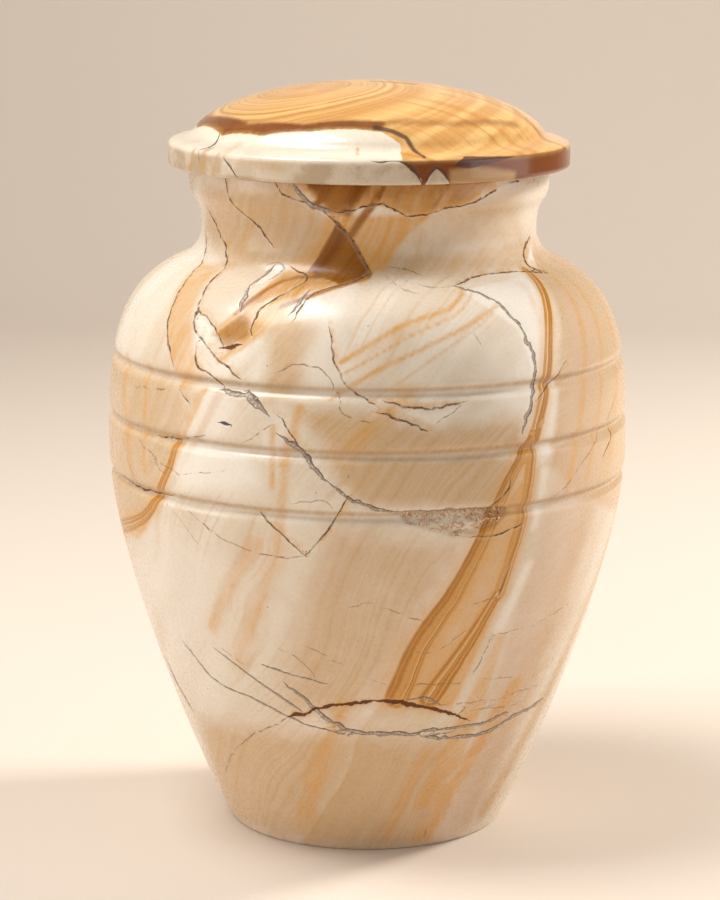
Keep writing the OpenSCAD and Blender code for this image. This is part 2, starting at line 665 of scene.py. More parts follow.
# ---------------------------------------------------------------- geometry nodes


class PieceTree:
    """A tree of geometry nodes with named inputs, and the pieces that it makes."""

    def __init__(self, name: str, start: str, sizes: dict[str, str], stone: str) -> None:
        """Makes a tree that has only its inputs and its output.

        Args:
            name: The tree's name.
            start: The name of the mesh that it starts from.
            sizes: The kinds of its sizes, "Float" or "Int", by their names.
            stone: The name of the material that it dresses a piece in.
        """
        self.nodes = Nodes(bpy.data.node_groups.new(name, "GeometryNodeTree"))
        self.inputs = {}
        interface = self.nodes.tree.interface
        for label, kind in {start: "Geometry", **sizes, stone: "Material"}.items():
            socket = interface.new_socket(label, in_out="INPUT", socket_type="NodeSocket" + kind)
            self.inputs[label] = socket.identifier
        interface.new_socket("Piece", in_out="OUTPUT", socket_type="NodeSocketGeometry")
        self.given = self.nodes.add("NodeGroupInput").outputs
        self.stone = stone

    def size(self, name: str) -> Value:
        """One of the tree's sizes."""
        return Value(self.nodes, self.given[name])

    def end(self, shape: bpy.types.NodeSocket) -> None:
        """Ends the tree: the shape is made real, and dressed in its material.

        Args:
            shape: The shape that the tree has built.
        """
        real = self.nodes.add("GeometryNodeRealizeInstances", None, {0: shape})
        inputs = {0: real.outputs[0], "Material": self.given[self.stone]}
        dressed = self.nodes.add("GeometryNodeSetMaterial", None, inputs)
        self.nodes.add("NodeGroupOutput", None, {"Piece": dressed.outputs[0]})

    def make(self, name: str, start: bpy.types.Mesh, settings: dict) -> bpy.types.Object:
        """Makes one piece.

        Args:
            name: The piece's name.
            start: The mesh that the tree starts from.
            settings: The tree's sizes and its material, by their names.

        Returns:
            The piece, with a plain mesh.
        """
        scene = bpy.context.scene.collection.objects
        blank = bpy.data.objects.new(name + "_blank", start)
        scene.link(blank)
        modifier = blank.modifiers.new("tree", "NODES")
        modifier.node_group = self.nodes.tree
        for label, value in settings.items():
            modifier[self.inputs[label]] = value
        bpy.context.view_layer.update()
        graph = bpy.context.evaluated_depsgraph_get()
        mesh = bpy.data.meshes.new_from_object(blank.evaluated_get(graph), depsgraph=graph)
        mesh.name = name
        piece = bpy.data.objects.new(name, mesh)
        scene.link(piece)
        blank.modifiers.remove(modifier)
        bpy.data.objects.remove(blank)
        return piece


class Lathe:
    """Turns an outline about +Z with a tree of geometry nodes."""

    sizes = {"Rows": "Int", "Columns": "Int", "Front Closeness": "Float", "Sharp Above": "Float"}
    sharp_above = 38.0
    merge_distance = 0.000004

    def __init__(self) -> None:
        """Builds the tree once, for both pieces."""
        self.tree = PieceTree("turned_outline", "Outline", self.sizes, "Stone")
        self._build()

    def _build(self) -> None:
        """Lays a grid along the outline and round the axis, and closes its seam and poles."""
        nodes, size = self.tree.nodes, self.tree.size
        add = nodes.add
        rows, columns = size("Rows"), size("Columns")
        sheet = {"Size X": 1.0, "Size Y": 1.0, "Vertices X": columns + 1.0, "Vertices Y": rows}
        grid = add("GeometryNodeMeshGrid", None, sheet)
        position = add("GeometryNodeInputPosition").outputs[0]
        across, along, _ = Arrow(nodes, position).parts()
        turn = across * math.tau
        angle = turn - size("Front Closeness") * turn.math("SINE", turn)
        row = (along + 0.5) * (rows - 1.0)
        sampled = add(
            "GeometryNodeSampleIndex",
            {"data_type": "FLOAT_VECTOR", "domain": "POINT"},
            {"Geometry": self.tree.given["Outline"], "Value": position, "Index": row.math("ROUND", row)},
        )
        radius, _, height = Arrow(nodes, sampled.outputs[0]).parts()
        x, y = radius * angle.math("SINE", angle), radius * angle.math("COSINE", angle) * -1.0
        place = add("ShaderNodeCombineXYZ", None, {"X": x, "Y": y, "Z": height}).outputs[0]
        turned = add("GeometryNodeSetPosition", None, {"Geometry": grid.outputs["Mesh"], "Position": place})
        joined = {"Geometry": turned.outputs[0], "Distance": self.merge_distance}
        closed = add("GeometryNodeMergeByDistance", None, joined)
        smooth = add("GeometryNodeSetShadeSmooth", {"domain": "FACE"}, {0: closed.outputs[0]})
        fold = Value(nodes, add("GeometryNodeInputMeshEdgeAngle").outputs["Unsigned Angle"])
        soft = fold.math("LESS_THAN", fold, size("Sharp Above"))
        edges = {0: smooth.outputs[0], "Shade Smooth": soft}
        self.tree.end(add("GeometryNodeSetShadeSmooth", {"domain": "EDGE"}, edges).outputs[0])

    def turn(
        self, name: str, outline: np.ndarray, columns: int, closeness: float, stone: bpy.types.Material
    ) -> bpy.types.Object:
        """Turns one piece.

        Args:
            name: The piece's name.
            outline: Its closed outline in millimetres, as (radius, height).
            columns: Number of columns of faces round the axis.
            closeness: How much closer the columns stand at the front, from 0 to 1.
            stone: Its material.

        Returns:
            The piece, with a plain mesh in metres.
        """
        mesh = bpy.data.meshes.new(name + "_outline")
        mesh.from_pydata([(r * MM, 0.0, z * MM) for r, z in outline], [], [])
        settings = {
            "Rows": len(outline),
            "Columns": columns,
            "Front Closeness": closeness,
            "Sharp Above": math.radians(self.sharp_above),
            "Stone": stone,
        }
        return self.tree.make(name, mesh, settings)


# ---------------------------------------------------------------- lines on the stone


class Ground(Enum):
    """How the places of a route are given."""

    ROUND = "degrees from the front, and height"
    PLAN = "x and y, as seen from above"


@dataclass(frozen=True)
class Line:
    """A crack, seam or band: its route, its half-width in millimetres and how jagged it is.

    In a stain, jagged is instead the share by which the band is weaker than full strength.
    """

    route: tuple[Place, ...]
    half_width: float = 0.4
    jagged: float = 0.35
    ground: Ground = Ground.ROUND
    end_width: float | None = None

    def widths(self, count: int) -> np.ndarray:
        """The half-width at each of count points, spaced evenly along the line."""
        end = self.half_width if self.end_width is None else self.end_width
        return np.linspace(self.half_width, end, count)


@dataclass(frozen=True)
class Patch:
    """An area of another colour: its outline, how soft its edge is in millimetres and how strong."""

    route: tuple[Place, ...]
    feather: float = 3.0
    strength: float = 1.0
    ground: Ground = Ground.ROUND


Marks = tuple[Patch | Line, ...]


class Surface:
    """The points of a turned piece, in millimetres, and what is drawn on them."""

    # In millimetres: how far in a point is still outside, and the spacing and margin of what is drawn
    skin = 1.6
    line_step = 1.6
    line_margin = 9.0
    ribbon_step = 3.0
    ribbon_edge = 9.0
    ribbon_apart = 500.0
    patch_step = 4.0
    patch_margin = 25.0
    margin_in_widths = 3.0
    # How a line's jags and its half-width are drawn at random, and how many points its ends taper over
    jag_run = 5
    fine_jag = 0.8
    slow_jag = 1.1
    taper_points = 3
    taper_least = 0.25
    width_spread = (0.6, 1.3)

    def __init__(self, piece: bpy.types.Object, side: np.ndarray, top: np.ndarray | None = None) -> None:
        """Reads the piece's mesh.

        Args:
            piece: The turned piece.
            side: Its outside as (radius, height), upwards.
            top: For a lid, its top as (radius, height), inwards.
        """
        self.mesh = piece.data
        flat = np.zeros(len(self.mesh.vertices) * 3, np.float32)
        self.mesh.vertices.foreach_get("co", flat)
        self.points = flat.reshape(-1, 3).astype(float) / MM
        self.mesh.vertex_normals.foreach_get("vector", flat)
        self.normals = flat.reshape(-1, 3).astype(float)
        self.side = side
        self.top = top
        self.degrees = np.degrees(np.arctan2(self.points[:, 0], -self.points[:, 1]))

    def outside(self) -> np.ndarray:
        """True for each point on the outside of a jar."""
        radii = np.hypot(self.points[:, 0], self.points[:, 1])
        return radii > np.interp(self.points[:, 2], self.side[:, 1], self.side[:, 0]) - self.skin

    def lifted(self, places: np.ndarray, ground: Ground) -> np.ndarray:
        """Lifts the places of a route onto the surface.

        Args:
            places: The places.
            ground: How they are given.

        Returns:
            The points on the surface.
        """
        if ground is Ground.ROUND:
            angles = np.radians(places[:, 0])
            radius = np.interp(places[:, 1], self.side[:, 1], self.side[:, 0])
            return np.stack([radius * np.sin(angles), -radius * np.cos(angles), places[:, 1]], 1)
        radius = np.hypot(*places.T)
        height = np.interp(radius, self.top[::-1, 0], self.top[::-1, 1])
        return np.stack([places[:, 0], places[:, 1], height], 1)

    def traced(self, route: tuple[Place, ...], ground: Ground, smooth: bool, step: float) -> np.ndarray:
        """A route with points close together, lifted onto the surface.

        Args:
            route: The route's places.
            ground: How they are given.
            smooth: Whether the route curves through its places or runs straight between them.
            step: The spacing wanted, in millimetres.

        Returns:
            The points, in millimetres.
        """
        ends = np.array(route, float)
        spans = np.linalg.norm(np.diff(self.lifted(ends, ground), axis=0), axis=1)
        before = np.concatenate([[2 * ends[0] - ends[1]], ends[:-1]])
        after = np.concatenate([ends[1:], [2 * ends[-1] - ends[-2]]])
        slopes = (after - before) / 2
        pieces = []
        for i, span in enumerate(spans):
            t = np.linspace(0, 1, max(2, int(span / step) + 1))[:-1, None]
            straight = ends[i] + (ends[i + 1] - ends[i]) * t
            curved = (
                (2 * t**3 - 3 * t**2 + 1) * ends[i]
                + (t**3 - 2 * t**2 + t) * slopes[i]
                + (3 * t**2 - 2 * t**3) * ends[i + 1]
                + (t**3 - t**2) * slopes[i + 1]
            )
            pieces.append(curved if smooth else straight)
        return self.lifted(np.concatenate(pieces + [ends[-1:]]), ground)

    def nearest(self, line: np.ndarray, widths: np.ndarray, margin: float) -> tuple:
        """Measures the points near a line.

        Args:
            line: The line's points.
            widths: The line's half-width at each of them.
            margin: How far from the line's box points are still measured.

        Returns:
            The indices of the points measured, and for each its distance with a sign that tells the
            line's two sides apart, its distance, the half-width there and how far along it lies.
        """
        low, high = line.min(0) - margin, line.max(0) + margin
        chosen = np.nonzero(((self.points > low) & (self.points < high)).all(1))[0]
        points, normals = self.points[chosen], self.normals[chosen]
        best = np.full(len(chosen), FAR)
        signed, width, reached = best.copy(), np.zeros(len(chosen)), np.zeros(len(chosen))
        travelled = 0.0
        for start, end, w0, w1 in zip(line[:-1], line[1:], widths[:-1], widths[1:]):
            along = end - start
            length = float(np.linalg.norm(along))
            if length < SHORT:
                continue
            share = np.clip((points - start) @ along / length**2, 0, 1)
            gap = points - start - share[:, None] * along
            distance = np.linalg.norm(gap, axis=1)
            side = np.sign((np.cross(normals, along) * gap).sum(1) + TINY)
            closer = distance < best
            best = np.where(closer, distance, best)
            signed = np.where(closer, side * distance, signed)
            width = np.where(closer, w0 + (w1 - w0) * share, width)
            reached = np.where(closer, travelled + share * length, reached)
            travelled += length
        return chosen, signed, best, width, reached

    def draw_lines(self, name: str, lines: tuple[Line, ...], seed: int) -> np.ndarray:
        """Draws jagged lines: distance with a side, distance, and half-width, at each point.

        Args:
            name: The name under which the mesh carries them.
            lines: The lines.
            seed: Seed of their jags.

        Returns:
            The three numbers at each point.
        """
        rng = np.random.default_rng(seed)
        drawn = np.tile([FAR, FAR, 0.0], (len(self.points), 1))
        for line in lines:
            path = self.traced(line.route, line.ground, True, self.line_step)
            widths = self._jag(path, line, rng)
            chosen, signed, distance, width, _ = self.nearest(path, widths, self.line_margin)
            closer = distance - width < drawn[chosen, 1] - drawn[chosen, 2]
            drawn[chosen[closer]] = np.stack([signed, distance, width], 1)[closer]
        self.keep(name, drawn)
        return drawn

    def _jag(self, path: np.ndarray, line: Line, rng: np.random.Generator) -> np.ndarray:
        """Shifts a path's points a little to either side.

        Args:
            path: The points, which are moved in place.
            line: The line that they belong to.
            rng: Where the shifts and widths are drawn from.

        Returns:
            The half-width at each point.
        """
        count = len(path)
        share = np.linspace(0, 1, count)
        axis_out = path * np.array([1.0, 1.0, 0.0])
        axis_out /= np.linalg.norm(axis_out, axis=1)[:, None]
        sideways = np.cross(np.gradient(path, axis=0), axis_out)
        sideways /= np.linalg.norm(sideways, axis=1)[:, None]
        slow_count = count // self.jag_run + 2
        slow = np.interp(share, np.linspace(0, 1, slow_count), rng.normal(size=slow_count))
        shift = line.jagged * (rng.normal(size=count) * self.fine_jag + slow * self.slow_jag)
        shift[[0, -1]] = 0.0
        path += sideways * shift[:, None]
        to_end = np.minimum(share, 1 - share) * count / self.taper_points
        taper = np.clip(to_end + self.taper_least, 0, 1)
        return line.widths(count) * taper * rng.uniform(*self.width_spread, count)

    def draw_ribbons(self, name: str, lines: tuple[Line, ...]) -> None:
        """Draws wide smooth bands: place across from -1 to 1, millimetres along, and plain place across.

        Args:
            name: The name under which the mesh carries them.
            lines: The middles of the bands.
        """
        drawn = np.tile([0.0, 0.0, self.ribbon_edge], (len(self.points), 1))
        for number, line in enumerate(lines):
            path = self.traced(line.route, line.ground, True, self.ribbon_step)
            widths = line.widths(len(path))
            margin = self.margin_in_widths * widths.max()
            chosen, signed, _, width, reached = self.nearest(path, widths, margin)
            across = signed / np.maximum(width, THIN)
            closer = np.abs(across) < drawn[chosen, 2]
            rows = np.stack([across, reached + self.ribbon_apart * number, np.abs(across)], 1)
            drawn[chosen[closer]] = rows[closer]
        self.keep(name, drawn)

    def depth_inside(self, route: tuple[Place, ...], ground: Ground) -> np.ndarray:
        """Measures how far each point lies inside a closed outline.

        Args:
            route: The outline's corners.
            ground: How they are given.

        Returns:
            The depth in millimetres, negative outside the outline.
        """
        path = self.traced(route + route[:1], ground, False, self.patch_step)
        chosen, _, distance, _, _ = self.nearest(path, np.zeros(len(path)), self.patch_margin)
        x, y = self.points[chosen, 0], self.points[chosen, 1]
        if ground is Ground.ROUND:
            x, y = self.degrees[chosen], self.points[chosen, 2]
        inside = np.zeros(len(chosen), bool)
        for (x0, y0), (x1, y1) in zip(route, route[1:] + route[:1]):
            if y0 != y1:
                crossing = (y0 > y) != (y1 > y)
                inside ^= crossing & (x < x0 + (x1 - x0) * (y - y0) / (y1 - y0))
        depth = np.full(len(self.points), -FAR)
        depth[chosen] = np.where(inside, distance, -distance)
        return depth

    def stain(self, marks: Marks) -> np.ndarray:
        """Lays one colour's patches and bands over each other.

        Args:
            marks: The patches and bands.

        Returns:
            How strong the colour is at each point, from 0 to 1: as strong as the strongest of them.
        """
        strength = np.zeros(len(self.points))
        for mark in marks:
            if isinstance(mark, Patch):
                depth = self.depth_inside(mark.route, mark.ground)
                here = mark.strength * np.clip(0.5 + depth / (2 * mark.feather), 0, 1)
            else:
                path = self.traced(mark.route, mark.ground, True, self.patch_step)
                widths = mark.widths(len(path))
                margin = self.margin_in_widths * widths.max()
                chosen, _, distance, width, _ = self.nearest(path, widths, margin)
                here = np.zeros(len(self.points))
                here[chosen] = (1 - mark.jagged) * np.exp(-((distance / np.maximum(width, THIN)) ** 2))
            strength = np.maximum(strength, here)
        return strength

    def keep(self, name: str, values: np.ndarray) -> None:
        """Stores three numbers a point on the mesh."""
        layer = self.mesh.attributes.new(name, "FLOAT_VECTOR", "POINT")
        layer.data.foreach_set("vector", values.astype(np.float32).ravel())

    def furrow(self, drawn: np.ndarray, depth: float, reach: float) -> np.ndarray:
        """How deep drawn lines are sunk at each point, deeper where they are wider."""
        return depth * np.clip(2 * drawn[:, 2], 0, 1.5) * (drawn[:, 1] < reach)

    def sink(self, depth: np.ndarray) -> None:
        """Moves the points inwards.

        Args:
            depth: How far each of them moves, in millimetres.
        """
        moved = (self.points - self.normals * depth[:, None]) * MM
        self.mesh.vertices.foreach_set("co", moved.astype(np.float32).ravel())
        self.mesh.update()


# ---------------------------------------------------------------- the stone's markings


@dataclass(frozen=True)
class JarMarkings:
    """What the jar's stone shows, as lines and patches, from the neck down; a few patches also carry
    painted shade and painted highlight.
    """

    cracks: tuple[Line, ...] = (
        # The neck, and the left of the shoulder
        Line(((-75, NECK), (-66, 207), (-57, 198), (-52, 185), (-47, 174)), 0.38),
        Line(((-44, RING_3 - 3), (-41, 163)), 0.36),
        Line(((-68, 222), (-59, NECK), (-51, 206), (-46, 196), (-43, 187), (-38, 182)), 0.42),
        Line(((-38, 182), (-33, 177), (-28, 173)), 0.4),
        Line(((-45, 193), (-38, 189), (-33, 182)), 0.3),
        Line(((-41, 181), (-40, 176), (-35, 173), (-32, RING_3 - 1)), 0.36),
        Line(((-51, RIM), (-47, 226), (-40, 220), (-33, 213)), 0.34, 0.2),
        Line(((-31, RIM), (-26, 231), (-19, 229)), 0.3, 0.2),
        Line(((-25, 207), (-18, SHOULDER), (-23, 199), (-27, 194), (-27, 187)), 0.38),
        Line(((-14, 226), (-6, 217), (-1, 209), (1, 206)), 0.4, 0.2),
        Line(((1, 206), (-7, 203), (-15, 200), (-18, 192)), 0.34),
        Line(((-10, 226), (2, 229), (8, 227), (14, 225), (30, 228), (48, 234), (66, 232)), 0.3),
        # The right of the shoulder
        Line(((24, 202), (34, SHOULDER), (50, SHOULDER), (63, 202)), 0.42, 0.2),
        Line(((71, 213), (62, 209), (59, 205), (63, 202)), 0.6, 0.1),
        Line(((48, 176), (44, 171), (38, 165)), 0.28, 0.2),
        # The rings and the belly
        Line(((-9, 191), (-7, 180), (-4, 172), (2, 166)), 0.34),
        Line(((3, 168), (12, 165), (21, 167)), 0.42),
        Line(((2, 164), (8, 161), (12, 158)), 0.45),
        Line(((-19, 162), (-16, 156), (-13, 151)), 0.26),
        Line(((-4, 136), (-8, 125), (-13, 115)), 0.3, 0.1),
        Line(((-23, RING_1), (-18, 122), (-13, 115)), 0.5, 0.15, end_width=0.22),
        Line(((-70, 130), (-60, RING_1), (-46, 130)), 0.4),
        Line(((-52, RING_2), (-43, 150)), 0.26),
        Line(((31, 140), (30, 135), (26, 131)), 0.38, 0.2),
        Line(((22, 121), (28, 121), (35, 124)), 0.32, 0.2),
        Line(((67, 152), (66, 146), (61, 140)), 0.3, 0.15),
        Line(((33, 109), (31, 99)), 0.42, 0.1),
        # The back
        Line(((118, 206), (136, 184), (144, 166), (160, 140)), 0.4),
        Line(((-170, 118), (-145, 110), (-112, 82)), 0.38),
        Line(((98, 96), (122, 88), (146, 78)), 0.34),
        Line(((-128, NECK), (-140, 200), (-150, 184)), 0.38),
    )
    hairlines: tuple[Line, ...] = (
        Line(((-34, 207), (-30, 208), (-27, 206), (-33, 200)), 0.24, 0.15),
        Line(((6, 208), (11, 207), (16, 205)), 0.32),
        Line(((5, 205), (9, 202), (14, 200)), 0.22),
        Line(((10, SHOULDER), (17, 202), (24, 202)), 0.22),
        Line(((24, 189), (26, 182)), 0.18, 0.2),
        Line(((-20, 176), (-15, 179), (-10, 177), (-6, 170), (-5, 164), (3, 160)), 0.24),
        Line(((-61, 164), (-52, 165), (-45, 167)), 0.26),
        Line(((14, 160), (20, 166)), 0.16),
        Line(((-27, 152), (-20, 159)), 0.18),
        Line(((-43, 150), (-36, 153)), 0.22, 0.15),
        Line(((-59, 147), (-54, 144), (-49, 140), (-43, 138)), 0.26),
        Line(((-43, 138), (-31, 142)), 0.15, 0.1),
        Line(((-54, 140), (-48, 137)), 0.22),
        Line(((-69, 147), (-63, 136), (-58, RING_1)), 0.2, 0.15),
        Line(((-16, 133), (-9, 134), (-6, 130)), 0.18),
        Line(((-50, RING_1), (-44, 122), (-38, 112)), 0.12, 0.1),
        Line(((-41, 126), (-32, 118), (-22, 114), (-13, 115)), 0.26),
        Line(((70, 160), (64, 153), (57, 146), (49, 136), (42, 130)), 0.22, 0.2),
        Line(((-4, 97), (2, 98), (15, 90)), 0.2),
        Line(((22, 95), (31, 99)), 0.22),
        Line(((12, 80), (18, 81), (24, 87)), 0.2),
        Line(((31, 85), (30, 76), (27, 68), (19, 67), (10, 68)), 0.24),
        Line(((31, 84), (42, 84), (59, 90)), 0.18),
        Line(((32, 67), (42, 65)), 0.18),
        Line(((52, 63), (64, 70)), 0.22),
        Line(((19, 59), (34, 58)), 0.28),
        Line(((36, 58), (45, 59), (56, 58)), 0.2),
        Line(((30, 55), (42, 54), (50, 55)), 0.22),
        Line(((26, 54), (28, 57)), 0.4, 0.1),
        Line(((-23, 81), (-15, 75), (-13, 70)), 0.18),
        Line(((-15, 82), (-6, 76)), 0.16),
        Line(((-41, 78), (-32, 72)), 0.2),
        Line(((0, 71), (6, 67)), 0.2),
        Line(((-58, 21), (-50, 30), (-43, 37), (-30, 47), (-21, 54)), 0.26),
        Line(((24, 9), (24, 2)), 0.2),
        Line(((152, 158), (176, 157), (200, 156)), 0.22),
        Line(((-140, 112), (-160, 78)), 0.22),
        Line(((128, 90), (132, 50)), 0.2),
        Line(((-150, 184), (-172, 162)), 0.2),
    )
    calcite: tuple[Line, ...] = (
        Line(((-24, RIM), (-19, 229), (-10, 226)), 0.75, 0.15),
        Line(((-31, 207), (-34, 201)), 0.5, 0.1),
        Line(((-34, 201), (-32, 194)), 0.7, 0.5),
        Line(((-16, 201), (-19, 194)), 0.5, 0.2),
        Line(((24, 202), (31, 199), (36, 190), (39, 179), (37, 168), (34, 155)), 0.65, 0.5),
        Line(((-33, RING_3 - 1), (-24, RING_3 - 2)), 0.9, 0.4),
        Line(((-26, RING_3 - 1), (-21, 162)), 2.2, 0.3, end_width=0.6),
        Line(((-19, 156), (-13, 150)), 0.6, 0.2, end_width=1.1),
        Line(((-14, 151), (-12, 147), (-8, 141)), 1.1, 0.25, end_width=0.6),
        Line(((-8, 141), (-2, 134), (6, 131)), 0.6, 0.3),
        Line(((30, 130), (18, 131), (6, 131)), 0.5, 0.4),
        Line(((-54, 75), (-44, 63), (-30, 58), (-18, 52), (-5, 48)), 0.32, 0.2),
        Line(((-41, 76), (-31, 68), (-17, 56)), 0.38, 0.1),
        Line(((-27, 73), (-10, 68)), 0.3, 0.2),
        Line(((-21, 67), (-10, 54), (0, 49), (15, 48)), 0.65, 0.3, end_width=0.95),
        Line(((16, 47), (36, 45), (46, 48), (62, 51)), 0.75, 0.3),
        Line(((15, 49), (30, 49), (44, 51)), 0.6, 0.3),
        Line(((11, 62), (16, 62), (20, 59)), 0.42, 0.15),
        Line(((-72, 62), (-69, 54), (-63, 45)), 1.1, 0.2),
        Line(((160, 140), (172, 124), (190, 118)), 0.7, 0.4),
        Line(((-112, 82), (-92, 62)), 0.5, 0.3),
    )
    rust: tuple[Line, ...] = (
        Line(((-21, 54), (-16, 55)), 1.1, 0.4),
        Line(((-18, 55), (-8, 60), (2, 62)), 0.42, 0.3, end_width=0.7),
        Line(((2, 62), (11, 60), (22, 56), (30, 51)), 0.9, 0.25, end_width=0.4),
        Line(((-34, 182), (-29, 184)), 0.7, 0.3),
        Line(((-24, 198), (-26, 196)), 0.45),
    )
    bundles: tuple[Line, ...] = (
        Line(((55, SHOULDER), (48, 193), (44, 183), (41, RING_3), (37, 152)), 1.6, end_width=2.6),
        Line(((39, 158), (31, 140), (26, 123), (20, 102), (13, 84), (8, 63)), 1.8, end_width=4.6),
        Line(((37, 154), (35, 130), (31, 99)), 2.2, end_width=2.4),
        Line(((31, 100), (25, 82), (17, 62)), 2.0, end_width=4.6),
        Line(((-44, 150), (-48, 136), (-58, 119), (-84, 106)), 1.4, end_width=3.4),
    )
    amber: Marks = (
        # The neck under the lid, and the shoulder's dark tongue
        Patch(((-24, RIM + 2), (-13, 226), (2, 229), (14, 225), (30, 228), (48, RIM + 2)), 0.5, 0.95),
        Patch(((-19, 206), (-9, 225), (18, 225), (4, 208), (-2, 203)), 2.0, 0.85),
        Patch(((2, 206), (-17, 200), (-28, 184), (-38, 186), (-27, 205), (-16, 207)), 1.0, 0.75),
        Patch(((-64, 205), (-50, SHOULDER), (-42, 182), (-36, 172), (-44, 166), (-55, 192)), 1.4, 0.5),
        Line(((18, 225), (9, 216), (4, 208)), 1.6, 0.2),
        Line(((-36, 226), (-46, 214), (-46, SHOULDER)), 1.0, 0.6),
        Line(((-24, 205), (-15, 216), (-8, 228)), 4.0, 0.3),
        # Bands that sweep down from the right of the shoulder
        Line(((26, 201), (20, 196), (7, 191), (-6, 180)), 1.2, 0.3),
        Line(((28, 200), (21, 194), (9, 188), (-6, 176)), 0.6, 0.4),
        Line(((33, 196), (22, 190), (13, 185), (1, 177), (-8, 168)), 1.1, 0.4),
        Line(((31, 194), (15, 182), (0, 167)), 0.7, 0.55),
        Line(((24, 199), (10, 191), (-2, 183)), 4.5, 0.7),
        # Soft upright streaks: the shoulder's right, the left of the rings, and the foot
        Line(((46, 201), (41, 180), (38, 160)), 2.4, 0.7),
        Line(((63, 205), (56, 178), (47, 132)), 2.0, 0.5),
        Line(((70, 206), (62, 168), (54, 134)), 1.4, 0.45),
        Line(((80, 206), (74, 176), (66, 140)), 2.6, 0.55),
        Line(((-78, 152), (-73, 124), (-62, 113), (-50, 130)), 1.0, 0.3),
        Line(((-86, 130), (-68, 110), (-58, 115)), 0.9, 0.35),
        Line(((-68, 172), (-62, 132)), 3.0, 0.5),
        Line(((-56, 172), (-56, 136)), 1.6, 0.45),
        Line(((-37, 168), (-44, 146)), 1.6, 0.4),
        Line(((-20, 158), (-20, 138)), 1.4, 0.45),
        Line(((-14, 165), (-18, 146)), 2.2, 0.45),
        Line(((-18, 203), (-25, 188), (-34, 178)), 1.6, 0.4),
        Line(((8, 170), (-6, 150)), 5.0, 0.5),
        Line(((-17, 146), (-20, 114), (-28, 86)), 2.4, 0.5),
        Line(((-24, 118), (-40, 84)), 4.0, 0.55),
        Line(((-18, 118), (-34, 72)), 5.0, 0.6),
        Line(((-6, 60), (-22, 8)), 3.5, 0.5),
        Line(((-14, 44), (-26, 8)), 1.6, 0.55),
        Line(((18, 40), (8, 4)), 3.0, 0.6),
        Line(((44, 62), (32, 30), (24, 4)), 4.5, 0.35),
        # The stone between the bundles on the right
        Patch(((38, 158), (25, 115), (8, 64), (24, 56), (32, 99), (37, 152)), 1.2, 0.55),
        Patch(((33, 84), (26, 54), (16, 16), (30, 16), (36, 84)), 1.5, 0.5),
        # The back
        Line(((112, 206), (128, 150), (112, 60)), 5.0, 0.45),
        Line(((-108, 206), (-132, 130), (-144, 40)), 4.0, 0.5),
        Line(((176, 232), (170, 200), (192, 150)), 3.0, 0.4),
    )
    deep: Marks = (
        Patch(((-10, 223), (-19, 206), (-8, 203), (1, 206), (-5, 216)), 0.7, 0.95),
        Patch(((-23, RIM + 4), (-12, 226), (-6, 225), (4, RIM + 4)), 1.6, 0.7),
        Patch(((-13, 226), (2, 229), (14, 225), (30, 228), (48, RIM + 4), (-13, RIM + 4)), 0.8, 0.32),
        Patch(((2, 206), (-17, 201), (-28, 187), (-33, 192), (-26, 204), (-16, 206)), 1.6, 0.26),
        Line(((4, 234), (-6, 218)), 1.6, 0.25),
        Line(((-10, 234), (-17, 228)), 1.2, 0.2),
        Line(((26, 238), (20, 228)), 1.4, 0.5),
        Patch(((-37, 186), (-30, 195), (-27, 187), (-33, 182)), 0.8, 0.4),
        Line(((0, 205), (-12, 201), (-22, 196)), 1.2, 0.35),
        Line(((-10, 205), (-25, 203), (-33, 193)), 1.4, 0.45),
    )
    mauve: Marks = (
        Patch(
            ((54, 196), (43, 143), (36, 92), (35, 53), (28, -10),
             (44, -10), (54, 92), (66, 165), (64, 200)),
            2.6, 0.6,
        ),
        Line(((78, 190), (66, 120), (48, 30)), 7.0, 0.5),
        Line(((68, 202), (60, 172)), 5.0, 0.55),
        Line(((-33, 168), (-38, 152)), 2.0, 0.35),
        Patch(((-54, 174), (-36, 174), (-38, 168), (-50, RING_3)), 2.0, 0.5),
        Patch(((60, 206), (76, 213), (96, 206), (90, 200), (70, 202)), 1.5, 0.6),
    )
    pale: Marks = (
        Patch(((25, 201), (51, 203), (42, 176), (38, 168), (36, 188)), 1.0, 0.75),
        Patch(((-31, 207), (-27, 207), (-33, 199)), 0.5, 0.95),
        Patch(((-46, 194), (-41, 182), (-36, 183), (-38, 188)), 0.6, 0.8),
        Patch(((-34, 182), (-26, 186), (-28, 179)), 0.8, 0.6),
        Patch(((58, 205), (72, 211), (62, 203)), 0.5, 0.8),
        Patch(((3, 167), (12, 164), (22, 166), (14, 159)), 1.0, 0.6),
        # A painted highlight: a wide pale streak down the middle of the shoulder.
        Line(((-6, 202), (-12, 180)), 7.0, 0.45),
        # Paler stone between the two lower rings on the left, made brighter still as a painted highlight.
        Patch(((-38, 150), (-26, 150), (-22, 138), (-42, 132), (-46, 140)), 4.0, 0.8),
        Patch(((-68, 100), (-46, 122), (-22, 110), (-42, 50), (-62, 46)), 9.0, 0.55),
        Patch(((0, 62), (12, 60), (26, 53), (0, 50), (-8, 56)), 1.0, 0.3),
        Line(((38, 108), (33, 86)), 3.0, 0.3),
        Line(((40, 140), (38, 122)), 2.6, 0.4),
    )
